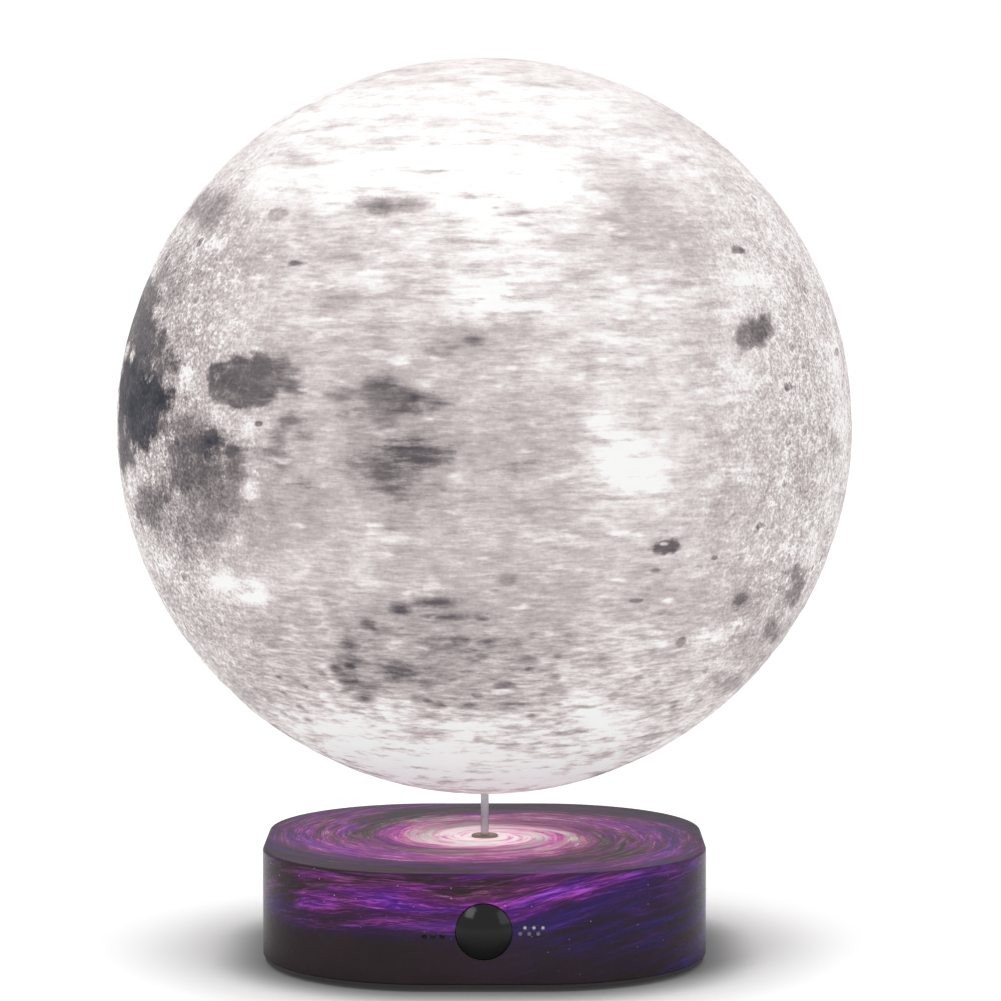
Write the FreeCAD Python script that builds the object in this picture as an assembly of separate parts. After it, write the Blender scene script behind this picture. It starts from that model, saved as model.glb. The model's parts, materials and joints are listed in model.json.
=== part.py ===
"""Moon lamp: a printed moon that turns slowly on a slim spindle above a rounded square base.

Everything is in millimetres. +Z is up, the front of the base faces -Y, and the origin is the
point on the table below the spindle. Each named piece is written to parts/NAME.step.
"""
import FreeCAD
import Part
import math
import os

V = FreeCAD.Vector
UP = V(0, 0, 1)
DOWN = V(0, 0, -1)
FRONT = V(0, -1, 0)
BACK = V(0, 1, 0)
BOTH = (-1, 1)
over = 1.0                  # how far a cut runs past the face that it opens
bite = 0.5                  # how far a boss reaches into what it grows from

# ---------------------------------------------------------------- moon
moon_diameter = 180.0
moon_wall = 2.0
float_gap = 11.6            # bare spindle between the base and the moon
opening_radius = 24.0       # hole in the underside of the moon
lip_wall = 2.0              # printed ring round that hole, inside the moon
lip_height = 7.0
cap_clearance = 0.2
cap_thickness = 5.0
cap_boss_radius = 6.0
cap_boss_height = 22.0
hook_count = 3
hook_wall = 1.6
hook_angle = 26.0
hook_barb = 1.4
hook_barb_height = 1.6
hook_turn = 30.0            # direction of the first hook
contact_roof = 1.0          # boss above the room of the tip contact

# the surface's largest hollows: longitude from the front, latitude, rim radius, depth
moon_hollows = (
    (-41, 10, 9.0, 1.0), (-58, -4, 10.0, 1.0), (-13, 7, 8.0, 0.8), (-12, -6, 7.0, 0.8),
    (-19, 41, 7.0, 0.8), (49, 16, 6.0, 0.9), (31, -20, 5.0, 0.8), (-5, -36, 9.0, 0.9),
    (60, -28, 5.5, 0.8), (95, 12, 11.0, 1.1), (128, -24, 9.0, 1.0), (165, 20, 10.0, 1.0),
    (-118, 30, 8.0, 0.9), (-140, -18, 11.0, 1.1), (-165, 50, 7.0, 0.8), (75, 52, 7.0, 0.8),
)

# ---------------------------------------------------------------- light engine inside the moon
post_wall = 1.4
post_height = 68.0
fit_clearance = 0.05        # pieces of one body that slip into each other
led_plate_radius = 20.0
led_plate_thickness = 3.0
led_board_radius = 16.0
board_thickness = 1.6
led_ring_radius = 11.0
led_count = 8
led_size = 3.5
led_height = 0.9
diffuser_radius = 19.0
diffuser_wall = 1.5
diffuser_skirt = 8.0
lead_radius = 0.5
lead_spacing = 4.0
lead_room = 0.4
lead_end = 0.6              # lead above the lamp board
led_screw_ring = 6.0
wire_way_depth = 2.5
led_screw_angles = (20.0, 200.0)
post_flange_width = 4.5
post_flange_thickness = 2.0
post_screw_length = 4.6
screw_end_room = 0.3        # pilot hole beyond a screw's end
post_screw_angles = (90.0, 210.0, 330.0)

# ---------------------------------------------------------------- spindle and its socket
spindle_radius = 1.0
spindle_tube_wall = 0.3
spindle_core_radius = 0.45
spindle_tip_height = 1.4
spindle_tip_round = 0.6
tip_insulation = 0.4        # insulator between the tip and the tube
tube_fit = 0.02             # insulator to the tube and the core
socket_depth = 18.0
socket_wall = 0.9
socket_mouth = 0.3          # sleeve above the moon's lowest point
tip_contact_step = 0.5      # contact beyond the spindle
running_clearance = 0.05
tip_clearance = 0.1
tip_contact_height = 1.8
collar_radius = 3.0
collar_height = 2.8
washer_radius = 4.2
washer_thickness = 0.5
washer_gap = 0.05
washer_play = 0.15
bush_radius = 3.0
bush_flange_radius = 4.4
bush_flange_thickness = 0.7
top_bush_radius = 2.4
top_bush_flange_radius = 3.3
top_bush_flange_thickness = 0.6
slip_ring_radius = 2.4
slip_ring_height = 1.6
brush_thickness = 0.25
brush_height = 0.8
brush_clearance = 0.15
end_brush_width = 1.4
brush_cover = 1.0           # carrier outside the ends of the brushes
brush_headroom = 1.9        # slip ring and core above the bottom of the carrier
core_reach = 0.8            # core below the tube
insulator_reach = 0.2
brush_carrier_inner = 3.6
brush_carrier_outer = 6.6
brush_carrier_height = 3.4

# ---------------------------------------------------------------- base housing
base_width = 108.0
base_corner = 41.0
base_height = 28.0          # table to the top face
base_wall = 2.4
base_top_wall = 2.6
top_edge_round = 0.7
seam_chamfer = 0.35
boss_radius = 3.5
boss_wall_gap = 4.0
boss_pilot_radius = 1.1

# ---------------------------------------------------------------- bottom plate, feet, ballast
foot_radius = 5.0
foot_height = 1.4
foot_recess = 0.6
foot_gap = 0.2
foot_chamfer = 0.25
rim_inset = 0.5
rim_height = 1.0
spigot_height = 1.8
spigot_clearance = 0.15
ballast_length = 44.0
ballast_thickness = 7.0
ballast_corner = 4.0
ballast_wall_gap = 8.6      # side wall to the ballast
ballast_lead_gap = 0.7      # ballast to the leads that pass it
ballast_shift = -6.0        # its middle, along the spindle's front to back line

# ---------------------------------------------------------------- fasteners (head radius, head height)
screw_head_radius = 2.3
screw_head_height = 1.1
screw_shank_radius = 1.1
screw_hole_radius = 1.4
head_room = 0.3             # round the head of a housing screw
head_sink = 0.2             # head below the foot's seat
housing_screw_length = 9.6
slot_radius_share = 0.4     # driver recess, of the head's radius and height
slot_depth_share = 0.5
small_head_radius = 1.9
small_head_height = 1.0
small_shank_radius = 0.9
small_hole_radius = 1.1
small_screw_length = 5.0

# ---------------------------------------------------------------- gear train
gear_module = 0.8
spindle_teeth = 48
idler_small_teeth = 12
idler_large_teeth = 36
pinion_teeth = 12
pressure_angle = math.radians(20.0)
backlash = 0.14
addendum = 0.85             # of the module
dedendum = 1.2              # of the module
gear_thickness = 2.2
gear_level_gap = 0.6
gear_top_gap = 1.0
gear_hub_radius = 3.5
gear_hub_drop = 2.2
web_hole_count = 6
web_hole_radius = 4.1
press_gap = 0.02            # gear, collar and slip ring on their shaft
idler_pin_radius = 1.5
idler_web_hole_count = 5
idler_web_hole_radius = 2.3
idler_pin_end_gap = 0.2
shaft_end_rise = 0.2        # motor shaft above the lower gear
motor_bearing = math.radians(250.0)   # direction from the idler to the motor

# ---------------------------------------------------------------- chassis and motor
chassis_thickness = 2.0
chassis_gap = 0.4           # chassis to the lower gear
chassis_post_radius = 3.0
chassis_pad_radius = 5.0
chassis_posts = ((-26.0, -22.0), (40.0, -20.0), (36.0, 22.0), (-26.0, 22.0))
tower_radius = 7.0
tower_bore = 5.0
tower_floor = 2.4
motor_radius = 12.0
motor_height = 10.0
motor_boss_radius = 4.0
motor_boss_height = 1.2
motor_shaft_radius = 1.5
motor_shaft_depth = 5.0
motor_ear_spacing = 31.0
motor_ear_radius = 3.2
motor_ear_thickness = 0.8
motor_edge_round = 0.8
motor_boss_gap = 0.2
terminal_width = 3.6
terminal_thickness = 1.8
terminal_reach = 0.6        # terminal block beyond the motor

# ---------------------------------------------------------------- front panel
panel_height = 14.4         # table to the centre of the button
button_radius = 6.5
button_gap = 0.25
button_dome = 2.2
button_travel = 0.8
button_flange_radius = 7.4
button_flange_thickness = 1.2
button_stem_radius = 2.5
flange_gap = 0.1
dot_radius = 0.55
dot_hole_radius = 0.62
dot_pitch = 2.1
dot_proud = 0.1
lit_row = (9.6, 0.95)       # first dot of the upper row, from the button centre
dim_row = (8.5, -0.45)      # first dot of the lower row
sensor_row = (-13.9, -1.1)  # first of the three sensor holes
light_bar_depth = 1.2
light_bar_margin = 0.25
light_bar_gap = 0.15        # front wall to the bar and to the gasket
light_bar_play = 0.35       # button flange to the bar
light_pipe_end_gap = 0.2
panel_board_width = 38.0
panel_board_height = 17.0
panel_board_gap = 6.6       # front wall to the panel board
panel_post = (15.5, 8.6)    # x and height of the posts that hold it
panel_post_radius = 2.2
switch_size = 6.0
switch_height = 3.4
switch_stand_off = 0.6      # plunger still out when the button is pressed home
plunger_end_room = 0.2
plunger_radius = 1.7
plunger_length = 2.6
plunger_clearance = 0.1
microphone_radius = 3.2
microphone_height = 4.4
gasket_wall = 0.45
panel_led_size = (1.0, 0.8)
panel_led_height = 1.9

# ---------------------------------------------------------------- main board and power inlet
main_board_width = 44.0
main_board_depth = 25.5
main_board_lift = 3.8       # bottom plate to the board
main_board_wall_gap = 2.0   # rear wall to the board
main_board_corner = 2.0
standoff_radius = 2.6
standoff_inset = 3.6
standoff_pilot_depth = 3.4
plug_size = (5.8, 4.5, 4.0)
plug_reach = 1.0            # front edge of the board to a plug
plug_side_gap = 1.6         # plug to the head of the screw beside it
inner_lead_radius = 0.45
inner_lead_pitch = 1.25
lead_stub = 2.5             # straight run of a lead where it leaves a piece
bend_share = 0.45           # of the shorter run at a corner that its arc takes
inner_lead_lift = 2.2       # leads that lie along the bottom plate
panel_lead_height = 12.0    # table to the leads where they leave the panel board
panel_lead_drop = 11.4      # panel board to where its leads reach the bottom
motor_lead_drop = 9.5
brush_lead_rise = 1.4
lead_climb = 10.0           # where the leads start up, before the plugs
panel_lead_count = 4
supply_lead_count = 2
inlet_width = 8.94
inlet_height = 3.26
inlet_length = 7.35
inlet_wall = 0.35
inlet_recess = 1.0
inlet_clearance = 0.3
inlet_tongue_width = 6.7
inlet_tongue_height = 0.7
inlet_back_wall = 1.2
inlet_tongue_recess = 0.9
capacitor_radius = 2.6
capacitor_height = 5.4
capacitor_at = (-13.0, 20.5)

# ================================================================ places worked out from the sizes
moon_radius = moon_diameter / 2
base_half = base_width / 2
moon_bottom = base_height + float_gap
moon_centre = V(0, 0, moon_bottom + moon_radius)

plate_bottom = foot_height - foot_recess
seam_height = plate_bottom + rim_height
floor_top = seam_height + spigot_height
ceiling = base_height - base_top_wall
inner_half = base_half - base_wall
inner_corner = base_corner - base_wall
corner_centre = base_half - base_corner
boss_offset = corner_centre + (inner_corner - boss_radius - boss_wall_gap) / math.sqrt(2)
front_inner = -inner_half
rear_inner = inner_half

upper_gear_top = ceiling - gear_top_gap
upper_gear_bottom = upper_gear_top - gear_thickness
lower_gear_top = upper_gear_bottom - gear_level_gap
lower_gear_bottom = lower_gear_top - gear_thickness
chassis_top = lower_gear_bottom - chassis_gap
chassis_bottom = chassis_top - chassis_thickness
tower_bottom = floor_top + brush_carrier_height + brush_headroom + brush_clearance
tower_floor_top = tower_bottom + tower_floor
washer_bottom = tower_floor_top + bush_flange_thickness
collar_bottom = washer_bottom + washer_thickness

spindle_top = moon_bottom + socket_depth
tube_inner = spindle_radius - spindle_tube_wall
slip_ring_bottom = tower_bottom - slip_ring_height - 2 * brush_clearance
spindle_bottom = slip_ring_bottom
tube_top = spindle_top - spindle_tip_height - tip_insulation
tip_bottom = spindle_top - spindle_tip_height
spindle_seat = spindle_radius + press_gap
core_bottom = spindle_bottom - core_reach
carrier_bottom = tower_bottom - brush_carrier_height

spindle_pitch = gear_module * spindle_teeth / 2
idler_small_pitch = gear_module * idler_small_teeth / 2
idler_large_pitch = gear_module * idler_large_teeth / 2
pinion_pitch = gear_module * pinion_teeth / 2
idler_at = V(spindle_pitch + idler_small_pitch, 0, 0)
motor_reach = idler_large_pitch + pinion_pitch
motor_at = idler_at + V(motor_reach * math.cos(motor_bearing), motor_reach * math.sin(motor_bearing), 0)

terminal_face = motor_at.y + motor_radius + terminal_reach
terminal_height = chassis_bottom - motor_height / 2
panel_board_front = front_inner + panel_board_gap
board_bottom = floor_top + main_board_lift
board_top = board_bottom + board_thickness
board_rear = rear_inner - main_board_wall_gap
board_front = board_rear - main_board_depth
standoff_x = main_board_width / 2 - standoff_inset
motor_plug = standoff_x - small_head_radius - plug_side_gap - plug_size[0] / 2
brush_plug = 0.0
panel_plug = -motor_plug
panel_lead_row = (panel_lead_count - 1) * inner_lead_pitch / 2 + inner_lead_radius
ballast_left = ballast_wall_gap - inner_half
ballast_right = panel_plug - panel_lead_row - ballast_lead_gap
inlet_mouth = base_half - inlet_recess
inlet_centre = board_top + inlet_height / 2

cap_top = moon_bottom + cap_thickness
post_inner = cap_boss_radius + fit_clearance
post_outer = post_inner + post_wall
post_top = cap_top + post_height
led_plate_top = post_top + led_plate_thickness
led_board_top = led_plate_top + board_thickness
socket_outer = spindle_radius + running_clearance + socket_wall
tip_seat = spindle_top + tip_clearance
boss_top = cap_top + cap_boss_height
tip_contact_radius = spindle_radius + tip_contact_step
wire_way_radius = lead_spacing / 2 + lead_radius + lead_room
lip_top = cap_top + lip_height
shank_in_hole = small_shank_radius - fit_clearance
motor_ears_at = [motor_at + V(side * motor_ear_spacing / 2, 0, 0) for side in BOTH]
chassis_points = [V(x, y, 0) for x, y in chassis_posts]


# ================================================================ shape helpers
def cylinder(radius, bottom, top, at=V(0, 0, 0)):
    return Part.makeCylinder(radius, top - bottom, V(at.x, at.y, bottom), UP)


def tube(outer, inner, bottom, top, at=V(0, 0, 0)):
    return cylinder(outer, bottom, top, at).cut(cylinder(inner, bottom, top, at))


def cylinder_y(radius, front, back, x, z):
    return Part.makeCylinder(radius, back - front, V(x, front, z), BACK)


def box(x0, x1, y0, y1, z0, z1):
    return Part.makeBox(x1 - x0, y1 - y0, z1 - z0, V(x0, y0, z0))


def corners(offset):
    return [V(sx * offset, sy * offset, 0) for sx in BOTH for sy in BOTH]


def rounded_plate(points, radius, bottom, top):
    """Plate round a convex run of points, counter-clockwise, that stands off them by radius."""
    edges = []
    count = len(points)
    for i in range(count):
        here, after = points[i], points[(i + 1) % count]
        along = (after - here).normalize()
        side = V(along.y, -along.x, 0) * radius
        beyond = points[(i + 2) % count]
        turn = (beyond - after).normalize()
        next_side = V(turn.y, -turn.x, 0) * radius
        middle = (side + next_side).normalize() * radius
        edges.append(Part.LineSegment(here + side, after + side).toShape())
        edges.append(Part.Arc(after + side, after + middle, after + next_side).toShape())
    outline = Part.Wire(edges)
    outline.translate(UP * bottom)
    return Part.Face(outline).extrude(UP * (top - bottom))


def rounded_block(half, corner, bottom, top):
    """Square block with large corner arcs, centred on the spindle."""
    c = half - corner
    return rounded_plate([V(-c, -c, 0), V(c, -c, 0), V(c, c, 0), V(-c, c, 0)], corner, bottom, top)


def slot_y(width, height, front, back, z):
    """Round-ended slot that runs front to back, with its long side level."""
    r = height / 2
    reach = width / 2 - r
    middle = box(-reach, reach, front, back, z - r, z + r)
    ends = [cylinder_y(r, front, back, x, z) for x in (-reach, reach)]
    return middle.fuse(ends).removeSplitter()


def screw(at, head_radius, head_height, shank_radius, length, direction=UP):
    """Pan head screw whose shank runs from the head's seat along direction."""
    head = Part.makeCylinder(head_radius, head_height, at - direction * head_height, direction)
    shank = Part.makeCylinder(shank_radius, length, at, direction)
    recess = Part.makeCylinder(head_radius * slot_radius_share, head_height * slot_depth_share,
                               at - direction * head_height, direction)
    return head.fuse(shank).cut(recess)


def small_screws(points, length=small_screw_length, direction=UP):
    """Group of small pan head screws, each with its head's seat at a point."""
    return Part.makeCompound([screw(p, small_head_radius, small_head_height, shank_in_hole, length, direction)
                              for p in points])


def lifted(points, height):
    return [p + UP * height for p in points]


def uprights(radius, bottom, top, points):
    """Equal upright cylinders, for bosses as well as for the holes cut in them."""
    return [cylinder(radius, bottom, top, p) for p in points]


def ring_edges(shape, at_top, level):
    """Edges that lie in the level plane at the top or at the bottom of a shape."""
    if at_top:
        return [e for e in shape.Edges if e.BoundBox.ZMin > level - fit_clearance]
    return [e for e in shape.Edges if e.BoundBox.ZMax < level + fit_clearance]


def involute(angle):
    return math.tan(angle) - angle


def gear(teeth, bottom, top, at, tooth_at):
    """Involute gear with a tooth centred on the angle tooth_at, in radians."""
    pitch = gear_module * teeth / 2
    base = pitch * math.cos(pressure_angle)
    tip = pitch + addendum * gear_module
    root = pitch - dedendum * gear_module
    half_at_pitch = math.pi / (2 * teeth) - backlash / (2 * pitch)

    def half_angle(r):
        return half_at_pitch + involute(pressure_angle) - involute(math.acos(min(1.0, base / r)))

    def point(r, angle):
        return V(at.x + r * math.cos(angle), at.y + r * math.sin(angle), bottom)

    start = max(base, root)
    middle = (start + tip) / 2
    step = 2 * math.pi / teeth
    edges = []
    for i in range(teeth):
        a = tooth_at + i * step
        up = [point(r, a - half_angle(r)) for r in (start, middle, tip)]
        down = [point(r, a + half_angle(r)) for r in (tip, middle, start)]
        foot_angle = half_angle(start)
        if root < base:
            edges.append(Part.LineSegment(point(root, a - foot_angle), up[0]).toShape())
        edges.append(Part.Arc(*up).toShape())
        edges.append(Part.Arc(up[2], point(tip, a), down[0]).toShape())
        edges.append(Part.Arc(*down).toShape())
        if root < base:
            edges.append(Part.LineSegment(down[2], point(root, a + foot_angle)).toShape())
        valley = a + step / 2
        edges.append(Part.Arc(point(root, a + foot_angle), point(root, valley),
                              point(root, a + step - foot_angle)).toShape())
    return Part.Face(Part.Wire(edges)).extrude(UP * (top - bottom))


def moon_ball(radius):
    return Part.makeSphere(radius, moon_centre)


def ring_sector(outer, inner, bottom, top, middle, spread):
    """Part of a ring on the spindle axis, spread degrees wide about the angle middle."""
    ring = tube(outer, inner, bottom, top)
    wedge = Part.makeCylinder(outer + over, top - bottom, V(0, 0, bottom), UP, spread)
    wedge.rotate(V(0, 0, 0), UP, middle - spread / 2)
    return ring.common(wedge)


def around(radius, angle, height=0.0):
    a = math.radians(angle)
    return V(radius * math.cos(a), radius * math.sin(a), height)


post_screw_ring = post_outer + post_flange_width / 2
post_screw_points = [around(post_screw_ring, a) for a in post_screw_angles]
led_screw_points = [around(led_screw_ring, a) for a in led_screw_angles]
flange_top = cap_top + post_flange_thickness

parts = {}

# ================================================================ moon
def hollow(longitude, latitude, radius, depth):
    """Ball that leaves a dish with that rim radius and depth in the moon's surface."""
    a, b = math.radians(longitude), math.radians(latitude)
    outward = V(math.sin(a) * math.cos(b), -math.cos(a) * math.cos(b), math.sin(b))
    rim_fall = moon_radius - math.sqrt(moon_radius ** 2 - radius ** 2)
    dip = depth - rim_fall
    ball = (radius ** 2 + dip ** 2) / (2 * dip)
    return Part.makeSphere(ball, moon_centre + outward * (moon_radius - depth + ball))


def make_moon_shell():
    ball = moon_ball(moon_radius).cut([hollow(*h) for h in moon_hollows])
    lip = cylinder(opening_radius + lip_wall, moon_bottom, lip_top).common(moon_ball(moon_radius))
    shell = ball.cut(moon_ball(moon_radius - moon_wall)).fuse(lip)
    return shell.cut(cylinder(opening_radius, moon_bottom - over, lip_top + over)).removeSplitter()


def make_bottom_cap():
    rim = opening_radius - cap_clearance
    cap = cylinder(rim, moon_bottom, cap_top).common(moon_ball(moon_radius))
    cap = cap.fuse(cylinder(cap_boss_radius, cap_top - bite, boss_top))
    barb_bottom = lip_top + cap_clearance
    barb_top = barb_bottom + hook_barb_height
    for i in range(hook_count):
        middle = 360.0 / hook_count * i + hook_turn
        stem = ring_sector(rim, rim - hook_wall, cap_top - bite, barb_top, middle, hook_angle)
        barb = ring_sector(rim + hook_barb, rim - hook_wall, barb_bottom, barb_top, middle, hook_angle)
        cap = cap.fuse([stem, barb])
    cuts = [cylinder(socket_outer + fit_clearance, moon_bottom - over, spindle_top),
            cylinder(tip_contact_radius + fit_clearance, spindle_top - over, boss_top - contact_roof),
            cylinder(wire_way_radius, boss_top - wire_way_depth, boss_top + over)]
    pilot_end = flange_top - post_screw_length - screw_end_room
    cuts += uprights(small_shank_radius, pilot_end, cap_top + over, post_screw_points)
    return cap.cut(cuts).removeSplitter()


parts["moon_shell"] = make_moon_shell()
parts["bottom_cap"] = make_bottom_cap()
parts["socket_sleeve"] = tube(socket_outer, spindle_radius + running_clearance,
                              moon_bottom + socket_mouth, tube_top)
parts["tip_contact"] = cylinder(tip_contact_radius, tip_seat, tip_seat + tip_contact_height)


# ================================================================ light engine
def make_light_post():
    """Hollow column with a screwed flange on the cap and a plate for the lamp board on top."""
    column = tube(post_outer, post_inner, cap_top, post_top)
    flange = tube(post_outer + post_flange_width, post_inner, cap_top, flange_top)
    plate = cylinder(led_plate_radius, post_top, led_plate_top)
    cuts = [cylinder(wire_way_radius, post_top - over, led_plate_top + over)]
    cuts += uprights(small_shank_radius, post_top - over, led_plate_top + over, led_screw_points)
    cuts += uprights(small_hole_radius, cap_top - over, flange_top + over, post_screw_points)
    return column.fuse([flange, plate]).cut(cuts).removeSplitter()


def make_led_board():
    cuts = [cylinder(wire_way_radius, led_plate_top - over, led_board_top + over)]
    cuts += uprights(small_hole_radius, led_plate_top - over, led_board_top + over, led_screw_points)
    return cylinder(led_board_radius, led_plate_top, led_board_top).cut(cuts)


def make_leds():
    chips = []
    for i in range(led_count):
        half = led_size / 2
        chip = box(led_ring_radius - half, led_ring_radius + half, -half, half,
                   led_board_top, led_board_top + led_height)
        chip.rotate(V(0, 0, 0), UP, 360.0 / led_count * i)
        chips.append(chip)
    return Part.makeCompound(chips)


def make_diffuser():
    """Opal dome over the lamp board: a short skirt and a half ball."""
    skirt_top = led_plate_top + diffuser_skirt
    inner = diffuser_radius - diffuser_wall
    outside = cylinder(diffuser_radius, led_plate_top, skirt_top)
    inside = cylinder(inner, led_plate_top, skirt_top)
    crown = V(0, 0, skirt_top)
    half_ball = Part.makeSphere(diffuser_radius, crown, UP, 0, 90, 360)
    half_hollow = Part.makeSphere(inner, crown, UP, 0, 90, 360)
    return outside.fuse(half_ball).cut(inside.fuse(half_hollow)).removeSplitter()


parts["light_post"] = make_light_post()
parts["led_board"] = make_led_board()
parts["led_chips"] = make_leds()
parts["diffuser_dome"] = make_diffuser()
parts["post_screws"] = small_screws(lifted(post_screw_points, flange_top), post_screw_length, DOWN)
parts["led_screws"] = small_screws(lifted(led_screw_points, led_board_top), led_plate_thickness, DOWN)
lead_points = [V(side * lead_spacing / 2, 0, 0) for side in BOTH]
parts["led_leads"] = Part.makeCompound(
    uprights(lead_radius, boss_top - wire_way_depth, led_board_top + lead_end, lead_points))


# ================================================================ spindle
def make_insulator():
    """Sleeve between the tube and the core, with a ring that parts the tip from the tube."""
    inner = spindle_core_radius + tube_fit
    sleeve = tube(tube_inner - tube_fit, inner, spindle_bottom - insulator_reach, tip_bottom)
    return sleeve.fuse(tube(spindle_radius, inner, tube_top, tip_bottom)).removeSplitter()


def make_core():
    tip = cylinder(spindle_radius, tip_bottom, spindle_top)
    tip = tip.makeFillet(spindle_tip_round, ring_edges(tip, True, spindle_top))
    return cylinder(spindle_core_radius, core_bottom, tip_bottom).fuse(tip)


def make_spindle_gear():
    hub_bottom = upper_gear_bottom - gear_hub_drop
    wheel = gear(spindle_teeth, upper_gear_bottom, upper_gear_top, V(0, 0, 0), 0.0)
    wheel = wheel.fuse(cylinder(gear_hub_radius, hub_bottom, upper_gear_top))
    web = (gear_hub_radius + spindle_pitch - dedendum * gear_module) / 2
    web_points = [around(web, 360.0 / web_hole_count * i) for i in range(web_hole_count)]
    cuts = uprights(web_hole_radius, upper_gear_bottom - over, upper_gear_top + over, web_points)
    cuts.append(cylinder(spindle_seat, hub_bottom - over, upper_gear_top + over))
    return wheel.cut(cuts)


parts["spindle_tube"] = tube(spindle_radius, tube_inner, spindle_bottom, tube_top)
parts["spindle_insulator"] = make_insulator()
parts["spindle_core"] = make_core()
parts["spindle_collar"] = tube(collar_radius, spindle_seat, collar_bottom, collar_bottom + collar_height)
parts["slip_ring"] = tube(slip_ring_radius, spindle_seat, slip_ring_bottom,
                          slip_ring_bottom + slip_ring_height)
parts["spindle_gear"] = make_spindle_gear()


# ================================================================ idler and motor pinion
def make_idler():
    """Two gears in one: the small one drives the spindle's gear, the large one meets the pinion."""
    gap_at_spindle = math.pi + math.pi / idler_small_teeth
    small = gear(idler_small_teeth, lower_gear_top, upper_gear_top, idler_at, gap_at_spindle)
    large = gear(idler_large_teeth, lower_gear_bottom, lower_gear_top, idler_at, motor_bearing)
    web = (idler_small_pitch + idler_large_pitch) / 2
    web_step = 360.0 / idler_web_hole_count
    web_points = [idler_at + around(web, web_step * i) for i in range(idler_web_hole_count)]
    cuts = uprights(idler_web_hole_radius, lower_gear_bottom - over, lower_gear_top + over, web_points)
    cuts.append(cylinder(idler_pin_radius + running_clearance, lower_gear_bottom - over,
                         upper_gear_top + over, idler_at))
    return large.fuse(small).cut(cuts).removeSplitter()


def make_pinion():
    gap_at_idler = motor_bearing + math.pi + math.pi / pinion_teeth
    pinion = gear(pinion_teeth, lower_gear_bottom, lower_gear_top, motor_at, gap_at_idler)
    bore = motor_shaft_radius + press_gap
    return pinion.cut(cylinder(bore, lower_gear_bottom - over, lower_gear_top + over, motor_at))


parts["idler_gear"] = make_idler()
parts["motor_pinion"] = make_pinion()
parts["motor_shaft"] = cylinder(motor_shaft_radius, chassis_bottom - motor_shaft_depth,
                                lower_gear_top + shaft_end_rise, motor_at)


# ================================================================ motor and chassis
def make_motor():
    motor_bottom = chassis_bottom - motor_height
    body = cylinder(motor_radius, motor_bottom, chassis_bottom, motor_at)
    body = body.makeFillet(motor_edge_round, ring_edges(body, False, motor_bottom))
    boss = cylinder(motor_boss_radius, chassis_bottom - bite, chassis_bottom + motor_boss_height, motor_at)
    ear_bottom = chassis_bottom - motor_ear_thickness
    left, right = motor_ears_at
    strap = box(left.x, right.x, motor_at.y - motor_ear_radius, motor_at.y + motor_ear_radius,
                ear_bottom, chassis_bottom)
    ends = uprights(motor_ear_radius, ear_bottom, chassis_bottom, motor_ears_at)
    half_width, half_height = terminal_width / 2, terminal_thickness / 2
    terminals = box(motor_plug - half_width, motor_plug + half_width, motor_at.y, terminal_face,
                    terminal_height - half_height, terminal_height + half_height)
    cuts = uprights(small_hole_radius, ear_bottom - over, chassis_bottom + over, motor_ears_at)
    shaft_room_bottom = chassis_bottom - motor_shaft_depth - tip_clearance
    cuts.append(cylinder(motor_shaft_radius + running_clearance, shaft_room_bottom, chassis_top, motor_at))
    return body.fuse([boss, strap, terminals] + ends).cut(cuts).removeSplitter()


def make_chassis():
    """Plate under the gears, with the tower that carries the spindle's lower bearing."""
    plate = rounded_plate(chassis_points, chassis_pad_radius, chassis_bottom, chassis_top)
    tower = cylinder(tower_radius, tower_bottom, chassis_bottom + bite)
    below, above = chassis_bottom - over, chassis_top + over
    cuts = [cylinder(tower_bore, tower_floor_top, above),
            cylinder(bush_radius, tower_bottom - over, tower_floor_top + over),
            cylinder(motor_boss_radius + motor_boss_gap, below, above, motor_at),
            cylinder(idler_pin_radius, below, above, idler_at)]
    cuts += uprights(small_hole_radius, below, above, chassis_points)
    cuts += uprights(small_shank_radius, below, above, motor_ears_at)
    return plate.fuse(tower).cut(cuts).removeSplitter()


def make_lower_bush():
    body = cylinder(bush_radius, tower_bottom, tower_floor_top)
    flange = cylinder(bush_flange_radius, tower_floor_top, washer_bottom)
    return body.fuse(flange).cut(spindle_room).removeSplitter()


def make_top_bush():
    """Flanged bush that shows as a small ring where the spindle leaves the base."""
    flange = cylinder(top_bush_flange_radius, base_height, bush_top)
    flange = flange.makeFillet(top_bush_flange_thickness / 2, ring_edges(flange, True, bush_top))
    body = cylinder(top_bush_radius, ceiling, base_height)
    return body.fuse(flange).cut(spindle_room).removeSplitter()


def make_brushes():
    """Two spring leaves: one rubs on the side of the slip ring, one on the end of the core."""
    near = slip_ring_radius + brush_clearance
    far = near + brush_thickness
    reach = math.sqrt(brush_carrier_outer ** 2 - far ** 2) - brush_cover
    middle = slip_ring_bottom + slip_ring_height / 2
    side = box(near, far, -reach, reach, middle - brush_height / 2, middle + brush_height / 2)
    top = core_bottom - brush_clearance
    half = end_brush_width / 2
    end = box(brush_cover - brush_carrier_outer, end_brush_width, -half, half, top - brush_thickness, top)
    return side, end


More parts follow.
